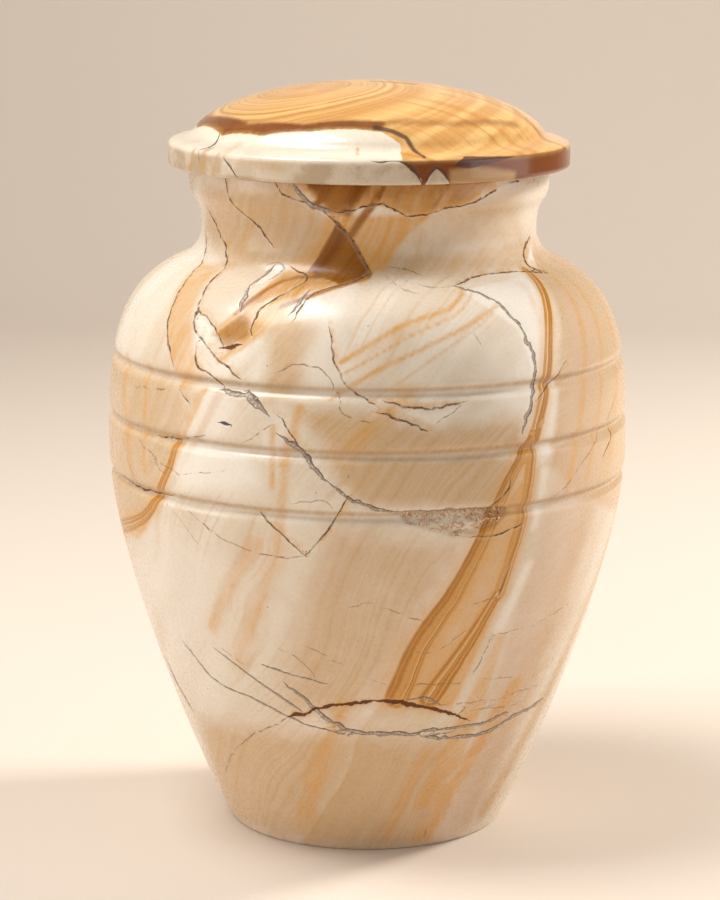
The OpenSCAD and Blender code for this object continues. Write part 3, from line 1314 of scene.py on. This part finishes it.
    peach: Marks = (
        Patch(((-77, 213), (-64, 232), (-22, RIM), (-10, 216), (-43, 205)), 5.0, 0.72),
        # Partly tan stone and partly painted shade: a band along the crease where the neck meets the
        # shoulder.
        Patch(
            ((-62, 203), (-12, 208), (1, 205), (62, SHOULDER), (72, NECK), (4, 213), (-23, 217)),
            3.0, 0.62,
        ),
        Patch(((9, 231), (55, 229), (68, 212), (10, 211)), 4.0, 0.45),
        Patch(
            ((56, SHOULDER), (45, 176), (42, 142), (52, RING_1),
             (84, 112), (125, 126), (112, 206), (66, 209)),
            2.5, 0.85,
        ),
        Patch(
            ((-118, 178), (-90, 172), (-36, 168), (-44, RING_2), (-56, 118), (-92, 102), (-130, 122)),
            2.0, 0.6,
        ),
        Patch(((-24, 198), (-9, 190), (-15, 170), (-22, 166)), 4.0, 0.7),
        Patch(((-16, 166), (3, 162), (14, 158), (34, 160), (34, 148), (-6, 150)), 5.0, 0.95),
        Patch(((-9, RING_2), (33, RING_2), (30, 130), (-2, 134)), 4.0, 0.8),
        Patch(((-8, RING_1), (22, 120), (8, 72), (-2, 50), (-24, 56)), 9.0, 0.62),
        # Partly tan stone and partly painted shade: the lower front of the body, which faces down.
        Patch(((-60, 44), (-10, 50), (26, 44), (30, 0), (-78, 0)), 7.0, 0.72),
        Line(((56, 120), (42, 10)), 9.0, 0.45),
        Line(((82, 120), (52, 10)), 6.0, 0.3),
        Line(((130, 200), (158, 100), (148, 20)), 16.0, 0.35),
        Line(((-120, 180), (-150, 90), (-150, 30)), 12.0, 0.4),
        Line(((100, 40), (180, 26), (260, 34)), 20.0, 0.4),
        Line(((90, NECK), (180, 212), (270, NECK)), 7.0, 0.4),
    )
    inclusions: tuple[Line, ...] = (Line(((-32.5, 158), (-30, 157.5)), 1.0, 0.1),)
    seam: tuple[Place, ...] = (
        (4, 131.5), (12, 131), (28, 131), (31, 129), (27, 123), (19, 121.5), (9, 126),
    )


@dataclass(frozen=True)
class LidMarkings:
    """What the lid's stone shows, as lines and patches, with painted shade in the brown round the flange's
    side.
    """

    amber_edge: tuple[Place, ...] = (
        (-74, 30), (-62, 14), (-60, -10), (-50, -35), (-36, -48),
        (-20, -54), (4, -57), (10, -60), (11, -74),
    )
    amber_rest: tuple[Place, ...] = ((90, -74), (90, 90), (-74, 90))
    chips: tuple[tuple[Place, ...], ...] = (
        ((1, 244), (9, 243), (14, 238), (14, 230), (1, 230)),
        ((15, 236), (18, 242), (22, 237), (22, 230), (15, 230)),
    )
    band_top: tuple[Place, ...] = ((8, -51), (-22, -49), (-40, -38), (-54, -12), (-57, 8), (-62, 22))
    cracks: tuple[Line, ...] = (
        Line(((-51, -33), (-54, -40), (-58, -39)), 0.55, 0.1, Ground.PLAN),
        Line(((-55, 243), (-55, 241)), 0.4, 0.1),
        Line(((-44, 243), (-42, 240), (-39, 237)), 0.4, 0.3),
        Line(((1, 244), (9, 243), (12, 240), (14, 237)), 0.42, 0.4),
        Line(((15, 237), (18, 242), (22, 237)), 0.34, 0.35),
        Line(((46, -2), (54, -14), (65, -21)), 0.28, 0.2, Ground.PLAN),
    )
    violet: Marks = (
        Line(((2, -55), (12, -58), (18, -66)), 1.5, 0.0, Ground.PLAN, 0.8),
        Patch(((23, 242), (27, 245), (44, 244), (28, 241)), 0.5, 1.0),
        Line(((-58, -14), (-60, 12)), 1.2, 0.5, Ground.PLAN),
    )
    pale: Marks = (
        Patch(((46, 4), (56, -14), (76, -22), (76, 30), (58, 26)), 1.2, 0.6, Ground.PLAN),
    )
    tan: Marks = (
        Line(((-60, RIM), (-58, 244)), 1.4, 0.35),
        Line(((-54, RIM), (-52, 245)), 2.2, 0.35),
        Line(((-49, RIM), (-46, 244)), 1.0, 0.4),
        Patch(((-44, 243), (-20, 243), (-24, 239), (-40, 240)), 2.0, 0.55),
        Line(((-44, -45), (-50, -52)), 3.0, 0.6, Ground.PLAN),
        Line(((-4, -62), (-4, -66)), 0.8, 0.3, Ground.PLAN),
        Patch(((22, 241), (30, 242), (44, 239), (44, 230), (22, 230)), 1.4, 0.8),
    )
    knots_and_flange_shade: Marks = (
        Line(((-22, 6), (-14, 4)), 1.6, 0.1, Ground.PLAN),
        Line(((2, -2), (14, -4)), 2.4, 0.1, Ground.PLAN),
        Line(((24, -18), (30, -20)), 0.9, 0.4, Ground.PLAN),
        Line(((8, -52), (28, -46), (50, -28)), 3.2, 0.45, Ground.PLAN),
        Line(((28, -57), (54, -30)), 2.4, 0.7, Ground.PLAN),
        # These two patches lay brown round the flange's side outside the cream: the stone's amber-brown,
        # darkened as painted shade.
        Patch(((9, 244), (14, 236), (40, 230), (200, 230), (200, 244)), 0.6, 1.0),
        Patch(((-200, 244), (-200, 230), (-118, 230), (-112, 244)), 0.6, 1.0),
    )

    def amber_ground(self) -> tuple[Place, ...]:
        """The outline of the amber stone: its edge at the front, and well past the lid elsewhere."""
        return self.amber_edge + self.amber_rest

    def dark_band(self) -> tuple[Place, ...]:
        """The outline of the dark band: along the amber's edge but for its ends, and back above it."""
        return self.amber_edge[1:-2] + self.band_top


@dataclass(frozen=True)
class JarStone:
    """Finish of the jar: cream marble with tan bands, amber bundles and healed cracks, with painted shade
    along its ring grooves.
    """

    ivory: Colour = (0.81, 0.715, 0.59)
    beige: Colour = (0.63, 0.48, 0.32)
    peach: Colour = (0.58, 0.37, 0.185)
    amber: Colour = (0.66, 0.33, 0.075)
    caramel: Colour = (0.42, 0.165, 0.015)
    deep_amber: Colour = (0.21, 0.062, 0.001)
    mauve: Colour = (0.64, 0.44, 0.30)
    pale: Colour = (0.85, 0.77, 0.66)
    # Painted shade: the colour laid on the upper side of each ring's groove, which faces down.
    groove_shade: Colour = (0.40, 0.25, 0.13)
    crack: Colour = (0.10, 0.045, 0.018)
    filling: Colour = (0.30, 0.17, 0.085)
    calcite: Colour = (0.36, 0.27, 0.20)
    calcite_light: Colour = (0.68, 0.59, 0.49)
    calcite_edge: Colour = (0.12, 0.075, 0.05)
    rust: Colour = (0.115, 0.028, 0.006)
    ink: Colour = (0.05, 0.03, 0.05)
    speck: Colour = (0.20, 0.12, 0.07)
    grain_shade: Colour = (0.86, 0.82, 0.76)
    across_layers: Point = (0.78, -0.36, -0.51)
    # How far above each ring's middle the painted groove shade lies, in millimetres.
    groove_shade_lift: float = 1.6
    speck_spacing: float = 5.5
    roughness: float = 0.22
    coat: float = 0.12
    coat_roughness: float = 0.1
    refraction: float = 1.42

    def material(self) -> bpy.types.Material:
        """Builds the stone's shader.

        Returns:
            Its material.
        """
        shader = Shader("jar_marble")
        colour = self._body(shader)
        colour = self._stained(shader, colour)
        colour, height, dull = self._broken(shader, colour)
        shader.link("Base Color", colour)
        mottle = shader.noise(1.4)
        shader.link("Roughness", self.roughness + 0.12 * mottle + 0.5 * dull)
        shader.link("Coat Weight", self.coat * (1.0 - dull))
        shader.fix(Coat_Roughness=self.coat_roughness, IOR=self.refraction)
        shader.relief(height)
        return shader.material

    def _bedding(self, shader: Shader) -> Value:
        """How deep a point lies across the layers of the stone, in millimetres."""
        wander = shader.drift(70.0, 16.0) + shader.drift(14.0, 1.2)
        return (shader.place + wander).along(self.across_layers)

    def _open(self, shader: Shader) -> Value:
        """1 where the layers are cut across, falling to 0 where the side lies along them."""
        x, y, _ = shader.place.parts()
        return (abs(x) / (x * x + y * y) ** 0.5).fall(0.68, 0.97)

    def _body(self, shader: Shader) -> Tint:
        """Lays ivory to beige in soft layers, with fine lines and grain.

        Args:
            shader: The shader built so far.

        Returns:
            The stone's own colour.
        """
        depth = self._bedding(shader)
        broad = shader.bands(depth, 34.0, 2.0).rise(0.38, 0.64)
        fine = shader.bands(depth, 5.0, 4.0, 0.7).rise(0.45, 0.75)
        thread = shader.bands(depth, 1.5, 2.0).rise(0.52, 0.76)
        clear = self._open(shader)
        where = shader.noise(45.0).rise(0.38, 0.60) * clear
        cloud = shader.noise(11.0, 4.0, 0.6)
        colour = shader.colour(self.ivory).under(self.beige, broad * 0.6)
        colour = colour.under(self.peach, fine * where * 0.5)
        colour = colour.under(self.amber, thread * where * 0.28)
        colour = colour.under(self.beige, cloud.rise(0.5, 0.8) * 0.35)
        return colour.times(self.grain_shade, shader.grain().rise(0.42, 0.72) * 0.2 * clear)

    def _stained(self, shader: Shader, colour: Tint) -> Tint:
        """Adds the amber, dark, mauve and pale areas and the bundles of fine bands.

        Args:
            shader: The shader built so far.
            colour: The stone's own colour.

        Returns:
            The colour with its stains.
        """
        depth = self._bedding(shader)
        clear = self._open(shader)
        stripes = 0.4 + (shader.bands(depth, 3.4, 5.0, 0.8).rise(0.36, 0.66) - 0.4) * clear
        amber, deep, mauve = shader.drawn("stain").parts()
        pale, peach, _ = shader.drawn("tone").parts()
        blur = shader.noise(6.0, 4.0, 0.6) - 0.5
        colour = colour.under(self.peach, (peach + blur * 0.5).rise(0.03, 0.8) * (0.68 + 0.32 * stripes))
        colour = colour.under(self.mauve, (mauve + blur * 0.25).rise(0.1, 0.9) * (0.6 + 0.3 * stripes))
        colour = colour.under(self.pale, (pale + blur * 0.25).rise(0.1, 0.85) * 0.85)
        colour = colour.under(self.amber, (amber + blur * 0.4).rise(0.04, 0.8) * (0.62 + 0.38 * stripes))
        dark = (deep + blur * 0.3).rise(0.06, 0.7)
        sweep = shader.bands(depth, 9.0, 2.0).rise(0.36, 0.60)
        colour = colour.under(self.caramel, dark * 0.95)
        colour = colour.under(self.deep_amber, dark * (0.25 + 0.45 * sweep + 0.25 * stripes))
        return self._bundled(shader, colour)

    def _bundled(self, shader: Shader, colour: Tint) -> Tint:
        """Adds the bundles of fine amber bands, which run along their own curves.

        Args:
            shader: The shader built so far.
            colour: The colour under the bundles.

        Returns:
            The colour with its bundles.
        """
        across, along, plain = shader.drawn("bundle").parts()
        wave = shader.noise(12.0) - 0.5
        lane = across + wave * 0.5
        lines = shader.bands(lane * 2.3 + along * 0.004, 1.0, 4.0, 0.65)
        inside = (plain + wave * 0.4).fall(0.75, 1.1)
        colour = colour.under(self.amber, plain.fall(0.8, 2.6) * 0.45)
        colour = colour.under(self.amber, inside * (0.55 + 0.45 * lines.rise(0.3, 0.55)))
        colour = colour.under(self.caramel, inside * lines.rise(0.42, 0.56) * 0.95)
        return colour.under(self.pale, inside * lines.fall(0.32, 0.40) * 0.6)

    def _broken(self, shader: Shader, colour: Tint) -> tuple[Tint, Value, Value]:
        """Adds the cracks and what fills them, and paints shade along the ring grooves.

        Args:
            shader: The shader built so far.
            colour: The sound stone's colour.

        Returns:
            The colour, the relief in millimetres, and how dull the surface is.
        """
        ragged = (shader.noise(1.1, 3.0, 0.7) - 0.5) * 0.9
        patchy = shader.noise(3.0)
        share, distance, side = shader.lines("cracks", ragged)
        warm_edge = distance.fall(0.2, 3.2) * side.rise(-0.4, 0.8) * patchy.rise(0.36, 0.6)
        pale_edge = distance.fall(0.2, 1.6) * side.fall(-0.8, 0.4)
        crack = share.fall(0.5, 1.3) * (0.4 + 0.6 * patchy.rise(0.32, 0.54))
        share, _, _ = shader.lines("hairlines", ragged)
        hair = share.fall(0.5, 1.35) * patchy.rise(0.36, 0.54)
        share, _, side = shader.lines("calcite", ragged * 1.4)
        seam = share.fall(0.9, 1.15)
        seam_edge = seam * (side.rise(0.1, 0.8) + side.fall(-0.9, -0.6) * 0.6)
        share, _, _ = shader.lines("rust", ragged * 1.6)
        rust, near_rust = share.fall(0.85, 1.2), share.fall(1.0, 3.6)
        share, _, _ = shader.lines("ink", ragged * 0.6)
        ink = share.fall(0.7, 1.2)
        fill = shader.colour(self.filling).under(self.crack, shader.noise(1.7).rise(0.40, 0.54))
        sparkle = shader.noise(0.8, 2.0, 0.6).rise(0.52, 0.62)
        grey = shader.colour(self.calcite).under(self.calcite_light, sparkle * 0.8)
        # Painted shade: a darker band just above each ring's groove, on the side that faces down.
        for ring in RINGS:
            groove_shade = abs(shader.place.parts()[2] - (ring + self.groove_shade_lift)).fall(0.1, 1.5)
            colour = colour.under(self.groove_shade, groove_shade * (0.3 + 0.6 * patchy))
        from_speck, own = shader.specks(self.speck_spacing)
        speck = from_speck.fall(0.03, 0.075) * own.rise(0.80, 0.82)
        for tint, amount in (
            (self.pale, pale_edge * 0.15),
            (self.amber, warm_edge * 0.5),
            (self.amber, near_rust * 0.4),
            (grey, seam * 0.95),
            (self.calcite_edge, seam_edge * 0.85),
            (fill, crack * 0.96),
            (self.filling, hair * 0.85),
            (self.rust, rust * 0.95),
            (self.ink, ink),
            (self.speck, speck * 0.7),
        ):
            colour = colour.under(tint, amount)
        cut = crack * -0.22 + hair * -0.06 + rust * -0.45 + seam_edge * -0.18
        return colour, cut, (crack + rust + seam * 0.5).at_most(1.0)


@dataclass(frozen=True)
class LidStone:
    """Finish of the lid: caramel rings like those of wood, over cream stone at the front left, with painted
    shade on the flange's upright side.
    """

    cream: Colour = (0.84, 0.73, 0.58)
    beige: Colour = (0.49, 0.36, 0.23)
    tan: Colour = (0.55, 0.33, 0.14)
    sand: Colour = (0.72, 0.50, 0.32)
    honey: Colour = (0.81, 0.50, 0.19)
    gold: Colour = (0.80, 0.50, 0.20)
    caramel: Colour = (0.50, 0.18, 0.022)
    brown: Colour = (0.17, 0.033, 0.002)
    umber: Colour = (0.07, 0.014, 0.003)
    violet: Colour = (0.085, 0.035, 0.030)
    crack: Colour = (0.075, 0.045, 0.030)
    grain_shade: Colour = (0.86, 0.80, 0.70)
    # Heights over which the painted shade on the flange's upright side fades out.
    flange_shade_heights: Place = (242.0, 244.2)
    ring_middle: Place = (-23.0, -8.0)
    ring_stretch: float = 0.95
    streaks: Point = (0.35, 0.9, 0.0)
    roughness: float = 0.18
    coat: float = 0.25
    coat_roughness: float = 0.07
    refraction: float = 1.45

    def material(self) -> bpy.types.Material:
        """Builds the stone's shader.

        Returns:
            Its material.
        """
        shader = Shader("lid_marble")
        amber, dark, pale = shader.drawn("grounds").parts()
        violet, tan, knots_and_flange_shade = shader.drawn("stain").parts()
        blur = shader.noise(4.0, 3.0) - 0.5
        ragged = (shader.noise(2.2, 4.0, 0.7) - 0.5) * 1.6
        cloud = shader.noise(12.0, 4.0, 0.6)
        mottle = shader.noise(7.0, 4.0, 0.65)
        # Painted shade: low is 1 on the flange's upright side, which the light from above barely reaches,
        # and the colour is made darker there.
        low = shader.place.parts()[2].fall(*self.flange_shade_heights)
        tanned = (tan + blur * 0.3).rise(0.1, 0.8)
        in_band = (dark + ragged).rise(-0.4, 2.2)
        band = shader.colour(self.brown).under(self.caramel, mottle.rise(0.35, 0.75) * 0.2)
        cream = shader.colour(self.cream).under(self.beige, cloud.rise(0.45, 0.8) * 0.3)
        # Painted shade: beige over the cream on the flange's side.
        cream = cream.under(self.beige, low * (0.55 + 0.45 * cloud.rise(0.4, 0.6)))
        cream = cream.under(self.tan, tanned * 0.8)
        # Painted shade: caramel over the amber on the flange's side, and more of the brown there (0.3 *
        # low).
        warm = self._rings(shader).under(self.caramel, low * 0.75)
        warm = warm.under(self.brown, (knots_and_flange_shade + blur * 0.4).rise(0.15, 0.75) * (0.6 + 0.3 * low))
        warm = warm.under(self.tan, low * tanned * 0.8)
        warm = warm.under(self.sand, (1.0 - low) * (pale + blur * 0.2).rise(0.2, 0.7) * 0.75)
        warm = warm.under(band, in_band * 0.9)
        warm = warm.under(self.umber, in_band * (amber + ragged * 0.5).fall(0.5, 1.8) * 0.85)
        colour = cream.under(warm, (amber + ragged * 0.5).rise(-0.25, 0.25))
        colour = colour.under(self.violet, (violet + blur * 0.5).rise(0.2, 0.8) * 0.85)
        grain = shader.grain()
        colour = colour.times(self.grain_shade, grain.rise(0.42, 0.72) * 0.5)
        share, _, _ = shader.lines("cracks", ragged * 0.4)
        crack = share.fall(0.6, 1.25)
        shader.link("Base Color", colour.under(self.crack, crack * 0.9))
        shader.link("Roughness", self.roughness + 0.10 * grain + 0.35 * crack)
        shader.fix(Coat_Weight=self.coat, Coat_Roughness=self.coat_roughness, IOR=self.refraction)
        shader.relief(crack * -0.3)
        return shader.material

    def _rings(self, shader: Shader) -> Tint:
        """Lays honey to caramel in rings that close round a point left of the middle.

        Args:
            shader: The shader built so far.

        Returns:
            The colour.
        """
        x, y, _ = (shader.place + shader.drift(30.0, 2.4) + shader.drift(7.0, 0.35)).parts()
        across = (x - self.ring_middle[0]) / self.ring_stretch
        along = y - self.ring_middle[1]
        reach = (across * across + along * along) ** 0.5
        broad = shader.bands(reach, 9.0, 2.0).rise(0.36, 0.62)
        fine = shader.bands(reach, 2.2, 4.0, 0.7).rise(0.42, 0.70)
        thread = shader.bands(reach + 31.0, 0.8, 2.0).rise(0.50, 0.75)
        where = shader.noise(18.0).rise(0.20, 0.45) * reach.fall(38.0, 52.0)
        colour = shader.colour(self.honey).under(self.caramel, broad * 0.5)
        colour = colour.under(self.caramel, fine * where * 0.7)
        colour = colour.under(self.caramel, thread * where * 0.5)
        streak = shader.bands(shader.place.along(self.streaks) + along * 0.2, 7.0, 4.0)
        colour = colour.under(self.caramel, reach.rise(36.0, 52.0) * streak.rise(0.45, 0.7) * 0.55)
        return colour.under(self.gold, streak.fall(0.3, 0.5) * 0.3)


@dataclass(frozen=True)
class DruseStone:
    """Finish of the small quartz crystals in the jar's open seam."""

    clear: Colour = (0.80, 0.56, 0.35)
    brown: Colour = (0.62, 0.37, 0.18)
    milky: Colour = (0.86, 0.80, 0.72)
    roughness: float = 0.24
    refraction: float = 1.54

    def material(self) -> bpy.types.Material:
        """Builds the crystals' shader.

        Returns:
            Their material.
        """
        shader = Shader("druse_quartz")
        patch = shader.noise(3.2, 3.0)
        colour = shader.colour(self.clear).under(self.brown, patch.rise(0.42, 0.62))
        colour = colour.under(self.milky, shader.noise(1.1).rise(0.56, 0.7))
        shader.link("Base Color", colour)
        shader.fix(Roughness=self.roughness, IOR=self.refraction)
        return shader.material


# ---------------------------------------------------------------- pieces


@dataclass
class Jar:
    """The jar: turned, marked, and sunk where its stone is broken. Its depths are in millimetres."""

    shape: JarShape
    markings: JarMarkings
    finish: JarStone
    columns: int = 336
    front_closeness: float = 0.45
    first_seed: int = 11
    crack_depth: float = 0.1
    rust_depth: float = 0.3
    sunk_reach: float = 0.9
    seam_depth: float = 0.8
    seam_slope: float = 1.2

    def build(self, lathe: Lathe) -> bpy.types.Object:
        """Turns the jar and draws on it.

        Args:
            lathe: The lathe that turns it.

        Returns:
            The finished jar.
        """
        stone, outline = self.finish.material(), self.shape.outline()
        piece = lathe.turn("urn_jar_marble", outline, self.columns, self.front_closeness, stone)
        surface = Surface(piece, self.shape.outer_side())
        marks = self.markings
        outside = surface.outside()
        depth = np.zeros(len(outside))
        kinds = (
            ("cracks", marks.cracks, self.crack_depth),
            ("hairlines", marks.hairlines, 0.0),
            ("calcite", marks.calcite, self.crack_depth),
            ("rust", marks.rust, self.rust_depth),
            ("ink", marks.inclusions, 0.0),
        )
        for seed, (name, lines, deep) in enumerate(kinds, self.first_seed):
            drawn = surface.draw_lines(name, lines, seed)
            depth = np.maximum(depth, surface.furrow(drawn, deep, self.sunk_reach))
        surface.draw_ribbons("bundle", marks.bundles)
        stains = [surface.stain(group) * outside for group in (marks.amber, marks.deep, marks.mauve)]
        surface.keep("stain", np.stack(stains, 1))
        tones = [surface.stain(group) * outside for group in (marks.pale, marks.peach)]
        surface.keep("tone", np.stack([*tones, np.zeros(len(outside))], 1))
        seam = surface.depth_inside(marks.seam, Ground.ROUND) / self.seam_slope
        seam = np.clip(seam, 0, 1) * outside
        layer = piece.data.attributes.new("seam", "FLOAT", "POINT")
        layer.data.foreach_set("value", seam.astype(np.float32))
        surface.sink(np.maximum(depth * outside, seam * self.seam_depth))
        return piece


@dataclass
class Druse:
    """Small quartz crystals that stand in an open seam of the jar.

    A crystal's size is in millimetres, its radius and length are shares of it, and crowd is the
    number of crystals on a square millimetre.
    """

    finish: DruseStone
    size: float = 0.85
    crowd: float = 1.2
    seed: int = 21
    sides: int = 6
    radius: float = 0.42
    length: float = 1.5
    growth: Place = (0.45, 1.15)
    lean_by: float = 0.7
    spin_by: float = 3.1
    seam_from: Place = (0.35, 0.6)

    def _tree(self) -> PieceTree:
        """Scatters crystals where the mesh carries the seam.

        Returns:
            The tree that does so.
        """
        sizes = {"Size": "Float", "Crowd": "Float", "Seed": "Int"}
        tree = PieceTree("druse_crystals", "Seam", sizes, "Quartz")
        add, size, seed = tree.nodes.add, tree.size("Size"), tree.given["Seed"]
        named = add("GeometryNodeInputNamedAttribute", {"data_type": "FLOAT"}, {"Name": "seam"})
        density = tree.size("Crowd") * Value(tree.nodes, named.outputs[0]).rise(*self.seam_from)
        scattered = add(
            "GeometryNodeDistributePointsOnFaces",
            {"distribute_method": "RANDOM"},
            {"Mesh": tree.given["Seam"], "Density": density, "Seed": seed},
        ).outputs
        cone = {"Radius Top": 0.0, "Radius Bottom": size * self.radius, "Depth": size * self.length}
        crystal = add("GeometryNodeMeshCone", None, {"Vertices": self.sides, **cone})
        most = (self.lean_by, self.lean_by, self.spin_by)
        turns = {0: tuple(-part for part in most), 1: most, "Seed": seed}
        tilt = add("FunctionNodeRandomValue", {"data_type": "FLOAT_VECTOR"}, turns)
        turned = add(
            "FunctionNodeRotateRotation",
            {"rotation_space": "LOCAL"},
            {"Rotation": scattered["Rotation"], "Rotate By": tilt.outputs[0]},
        )
        scales = {2: self.growth[0], 3: self.growth[1], "Seed": seed}
        growth = add("FunctionNodeRandomValue", {"data_type": "FLOAT"}, scales)
        placed = add(
            "GeometryNodeInstanceOnPoints",
            None,
            {
                "Points": scattered["Points"],
                "Instance": crystal.outputs["Mesh"],
                "Rotation": turned.outputs[0],
                "Scale": growth.outputs[1],
            },
        )
        tree.end(placed.outputs[0])
        return tree

    def grow(self, jar: bpy.types.Object) -> bpy.types.Object:
        """Grows the crystals as a piece of their own.

        Args:
            jar: The finished jar.

        Returns:
            The crystals.
        """
        settings = {
            "Size": self.size * MM,
            "Crowd": self.crowd / MM**2,
            "Seed": self.seed,
            "Quartz": self.finish.material(),
        }
        return self._tree().make("druse_crystals", jar.data, settings)


@dataclass
class Lid:
    """The lid: turned, marked, and sunk where its stone is broken. Its depths are in millimetres."""

    shape: LidShape
    markings: LidMarkings
    finish: LidStone
    columns: int = 400
    front_closeness: float = 0.4
    seed: int = 31
    crack_depth: float = 0.2
    sunk_reach: float = 0.6
    ground_reach: float = 9.0
    side_foot: float = 7.0

    def build(self, lathe: Lathe) -> bpy.types.Object:
        """Turns the lid and draws on it.

        Args:
            lathe: The lathe that turns it.

        Returns:
            The finished lid.
        """
        shape, marks = self.shape, self.markings
        stone, outline = self.finish.material(), shape.outline()
        piece = lathe.turn("urn_lid_marble", outline, self.columns, self.front_closeness, stone)
        rim, top = shape.rim_height * UP, shape.top()
        side = [(shape.radius, 0.0), (shape.radius, self.side_foot), *top[:shape.rounding_steps]]
        surface = Surface(piece, np.array(side) + rim, top + rim)
        cracks = surface.draw_lines("cracks", marks.cracks, self.seed)
        amber = surface.depth_inside(marks.amber_ground(), Ground.PLAN)
        for chip in marks.chips:
            amber = np.minimum(amber, -surface.depth_inside(chip, Ground.ROUND))
        dark = surface.depth_inside(marks.dark_band(), Ground.PLAN)
        amber, dark = (np.clip(depth, -self.ground_reach, self.ground_reach) for depth in (amber, dark))
        surface.keep("grounds", np.stack([amber, dark, surface.stain(marks.pale)], 1))
        stains = [surface.stain(group) for group in (marks.violet, marks.tan, marks.knots_and_flange_shade)]
        surface.keep("stain", np.stack(stains, 1))
        surface.sink(surface.furrow(cracks, self.crack_depth, self.sunk_reach))
        return piece


# ---------------------------------------------------------------- studio


@dataclass(frozen=True)
class Lamp:
    """A soft lamp: its place and size in metres, its power in watts, and whether gloss shows it."""

    name: str
    place: Point
    size: Place
    power: float
    in_gloss: bool = True


@dataclass
class Studio:
    """The camera, the lamps, and the floor and backdrop round the urn.

    Lengths are in metres and angles in degrees. The lens and the sensor are in millimetres.
    """

    top: float
    lens: float = 120.0
    sensor: float = 36.0
    sight: float = 20.0
    camera_place: Point = (-0.0026, -1.0526, 0.3470)
    camera_down: float = 11.48
    camera_roll: float = 0.349
    lamps: tuple[Lamp, ...] = (
        Lamp("lamp_above", (-0.50, -0.10, 1.22), (0.55, 0.60), 14.0),
        Lamp("lamp_left", (-1.30, -0.35, 0.30), (0.7, 0.8), 5.2),
        Lamp("lamp_fill", (-0.9, -1.3, 0.7), (1.0, 1.0), 5.2, False),
        Lamp("lamp_right", (1.20, -0.25, 0.40), (1.0, 1.0), 5.2),
        Lamp("lamp_sun", (1.10, 0.50, 0.90), (0.30, 0.30), 20.0, False),
    )
    room_colour: Colour = (1.0, 0.98, 0.95)
    room_light: float = 0.15
    floor_colour: Colour = (0.72, 0.61, 0.505)
    floor_roughness: float = 0.7
    floor_front: float = 2.6
    floor_back: float = 1.6
    half_width: float = 3.2
    backdrop_height: float = 2.4
    bend: float = 0.5
    bend_steps: int = 14

    def stand_camera(self) -> None:
        """Stands the camera in front of the urn, above it and tilted a little down."""
        data = bpy.data.cameras.new("camera")
        data.lens = self.lens
        data.sensor_width = self.sensor
        data.clip_end = self.sight
        camera = bpy.data.objects.new("camera", data)
        camera.matrix_world = (
            Matrix.Translation(Vector(self.camera_place))
            @ Matrix.Rotation(math.radians(90.0 - self.camera_down), 4, "X")
            @ Matrix.Rotation(math.radians(self.camera_roll), 4, "Z")
        )
        bpy.context.scene.collection.objects.link(camera)
        bpy.context.scene.camera = camera

    def hang_lamps(self) -> None:
        """Hangs the lamps round the urn, aimed at its middle, and fills the room with soft light."""
        middle = Vector((0.0, 0.0, 0.5 * self.top))
        for lamp in self.lamps:
            data = bpy.data.lights.new(lamp.name, "AREA")
            data.shape = "RECTANGLE"
            data.size, data.size_y = lamp.size
            data.energy = lamp.power
            hung = bpy.data.objects.new(lamp.name, data)
            hung.location = lamp.place
            hung.rotation_euler = (middle - Vector(lamp.place)).to_track_quat("-Z", "Y").to_euler()
            hung.visible_glossy = lamp.in_gloss
            bpy.context.scene.collection.objects.link(hung)
        world = bpy.data.worlds.new("soft_room")
        bpy.context.scene.world = world
        world.use_nodes = True
        room = world.node_tree.nodes["Background"]
        room.inputs["Color"].default_value = (*self.room_colour, 1.0)
        room.inputs["Strength"].default_value = self.room_light

    def lay_floor(self) -> None:
        """Builds the floor and the backdrop as one curved sheet."""
        curve = arc((self.floor_back - self.bend, self.bend), self.bend, -90, 0, self.bend_steps)
        profile = [(-self.floor_front, 0.0), *map(tuple, curve), (self.floor_back, self.backdrop_height)]
        points = [(side * self.half_width, y, z) for y, z in profile for side in (-1, 1)]
        faces = [(2 * i, 2 * i + 1, 2 * i + 3, 2 * i + 2) for i in range(len(profile) - 1)]
        mesh = bpy.data.meshes.new("floor")
        mesh.from_pydata(points, [], faces)
        mesh.shade_smooth()
        floor = bpy.data.objects.new("floor", mesh)
        bpy.context.scene.collection.objects.link(floor)
        shader = Shader("pale_floor")
        shader.fix(Roughness=self.floor_roughness)
        shader.surface.inputs["Base Color"].default_value = (*self.floor_colour, 1.0)
        mesh.materials.append(shader.material)


def place_piece(piece: bpy.types.Object, node: str) -> None:
    """Makes a piece stand for a CAD node, and reports it.

    Args:
        piece: The piece.
        node: The name of the node.
    """
    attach(piece, "root")
    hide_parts(node)
    log.info("%s: %d points, %d faces", piece.name, len(piece.data.vertices), len(piece.data.polygons))


def main() -> None:
    """Builds the urn and the studio round it."""
    logging.basicConfig(level=logging.INFO, format="%(message)s")
    bpy.context.scene.view_settings.view_transform = "Standard"
    studio = Studio(CAD_BOX[1][2])
    studio.stand_camera()
    studio.hang_lamps()
    studio.lay_floor()
    lathe = Lathe()
    jar = Jar(JarShape(), JarMarkings(), JarStone()).build(lathe)
    druse = Druse(DruseStone()).grow(jar)
    lid = Lid(LidShape(), LidMarkings(), LidStone()).build(lathe)
    place_piece(jar, "urn_jar")
    place_piece(druse, "urn_jar")
    place_piece(lid, "urn_lid")


if __name__ == "__main__":
    main()
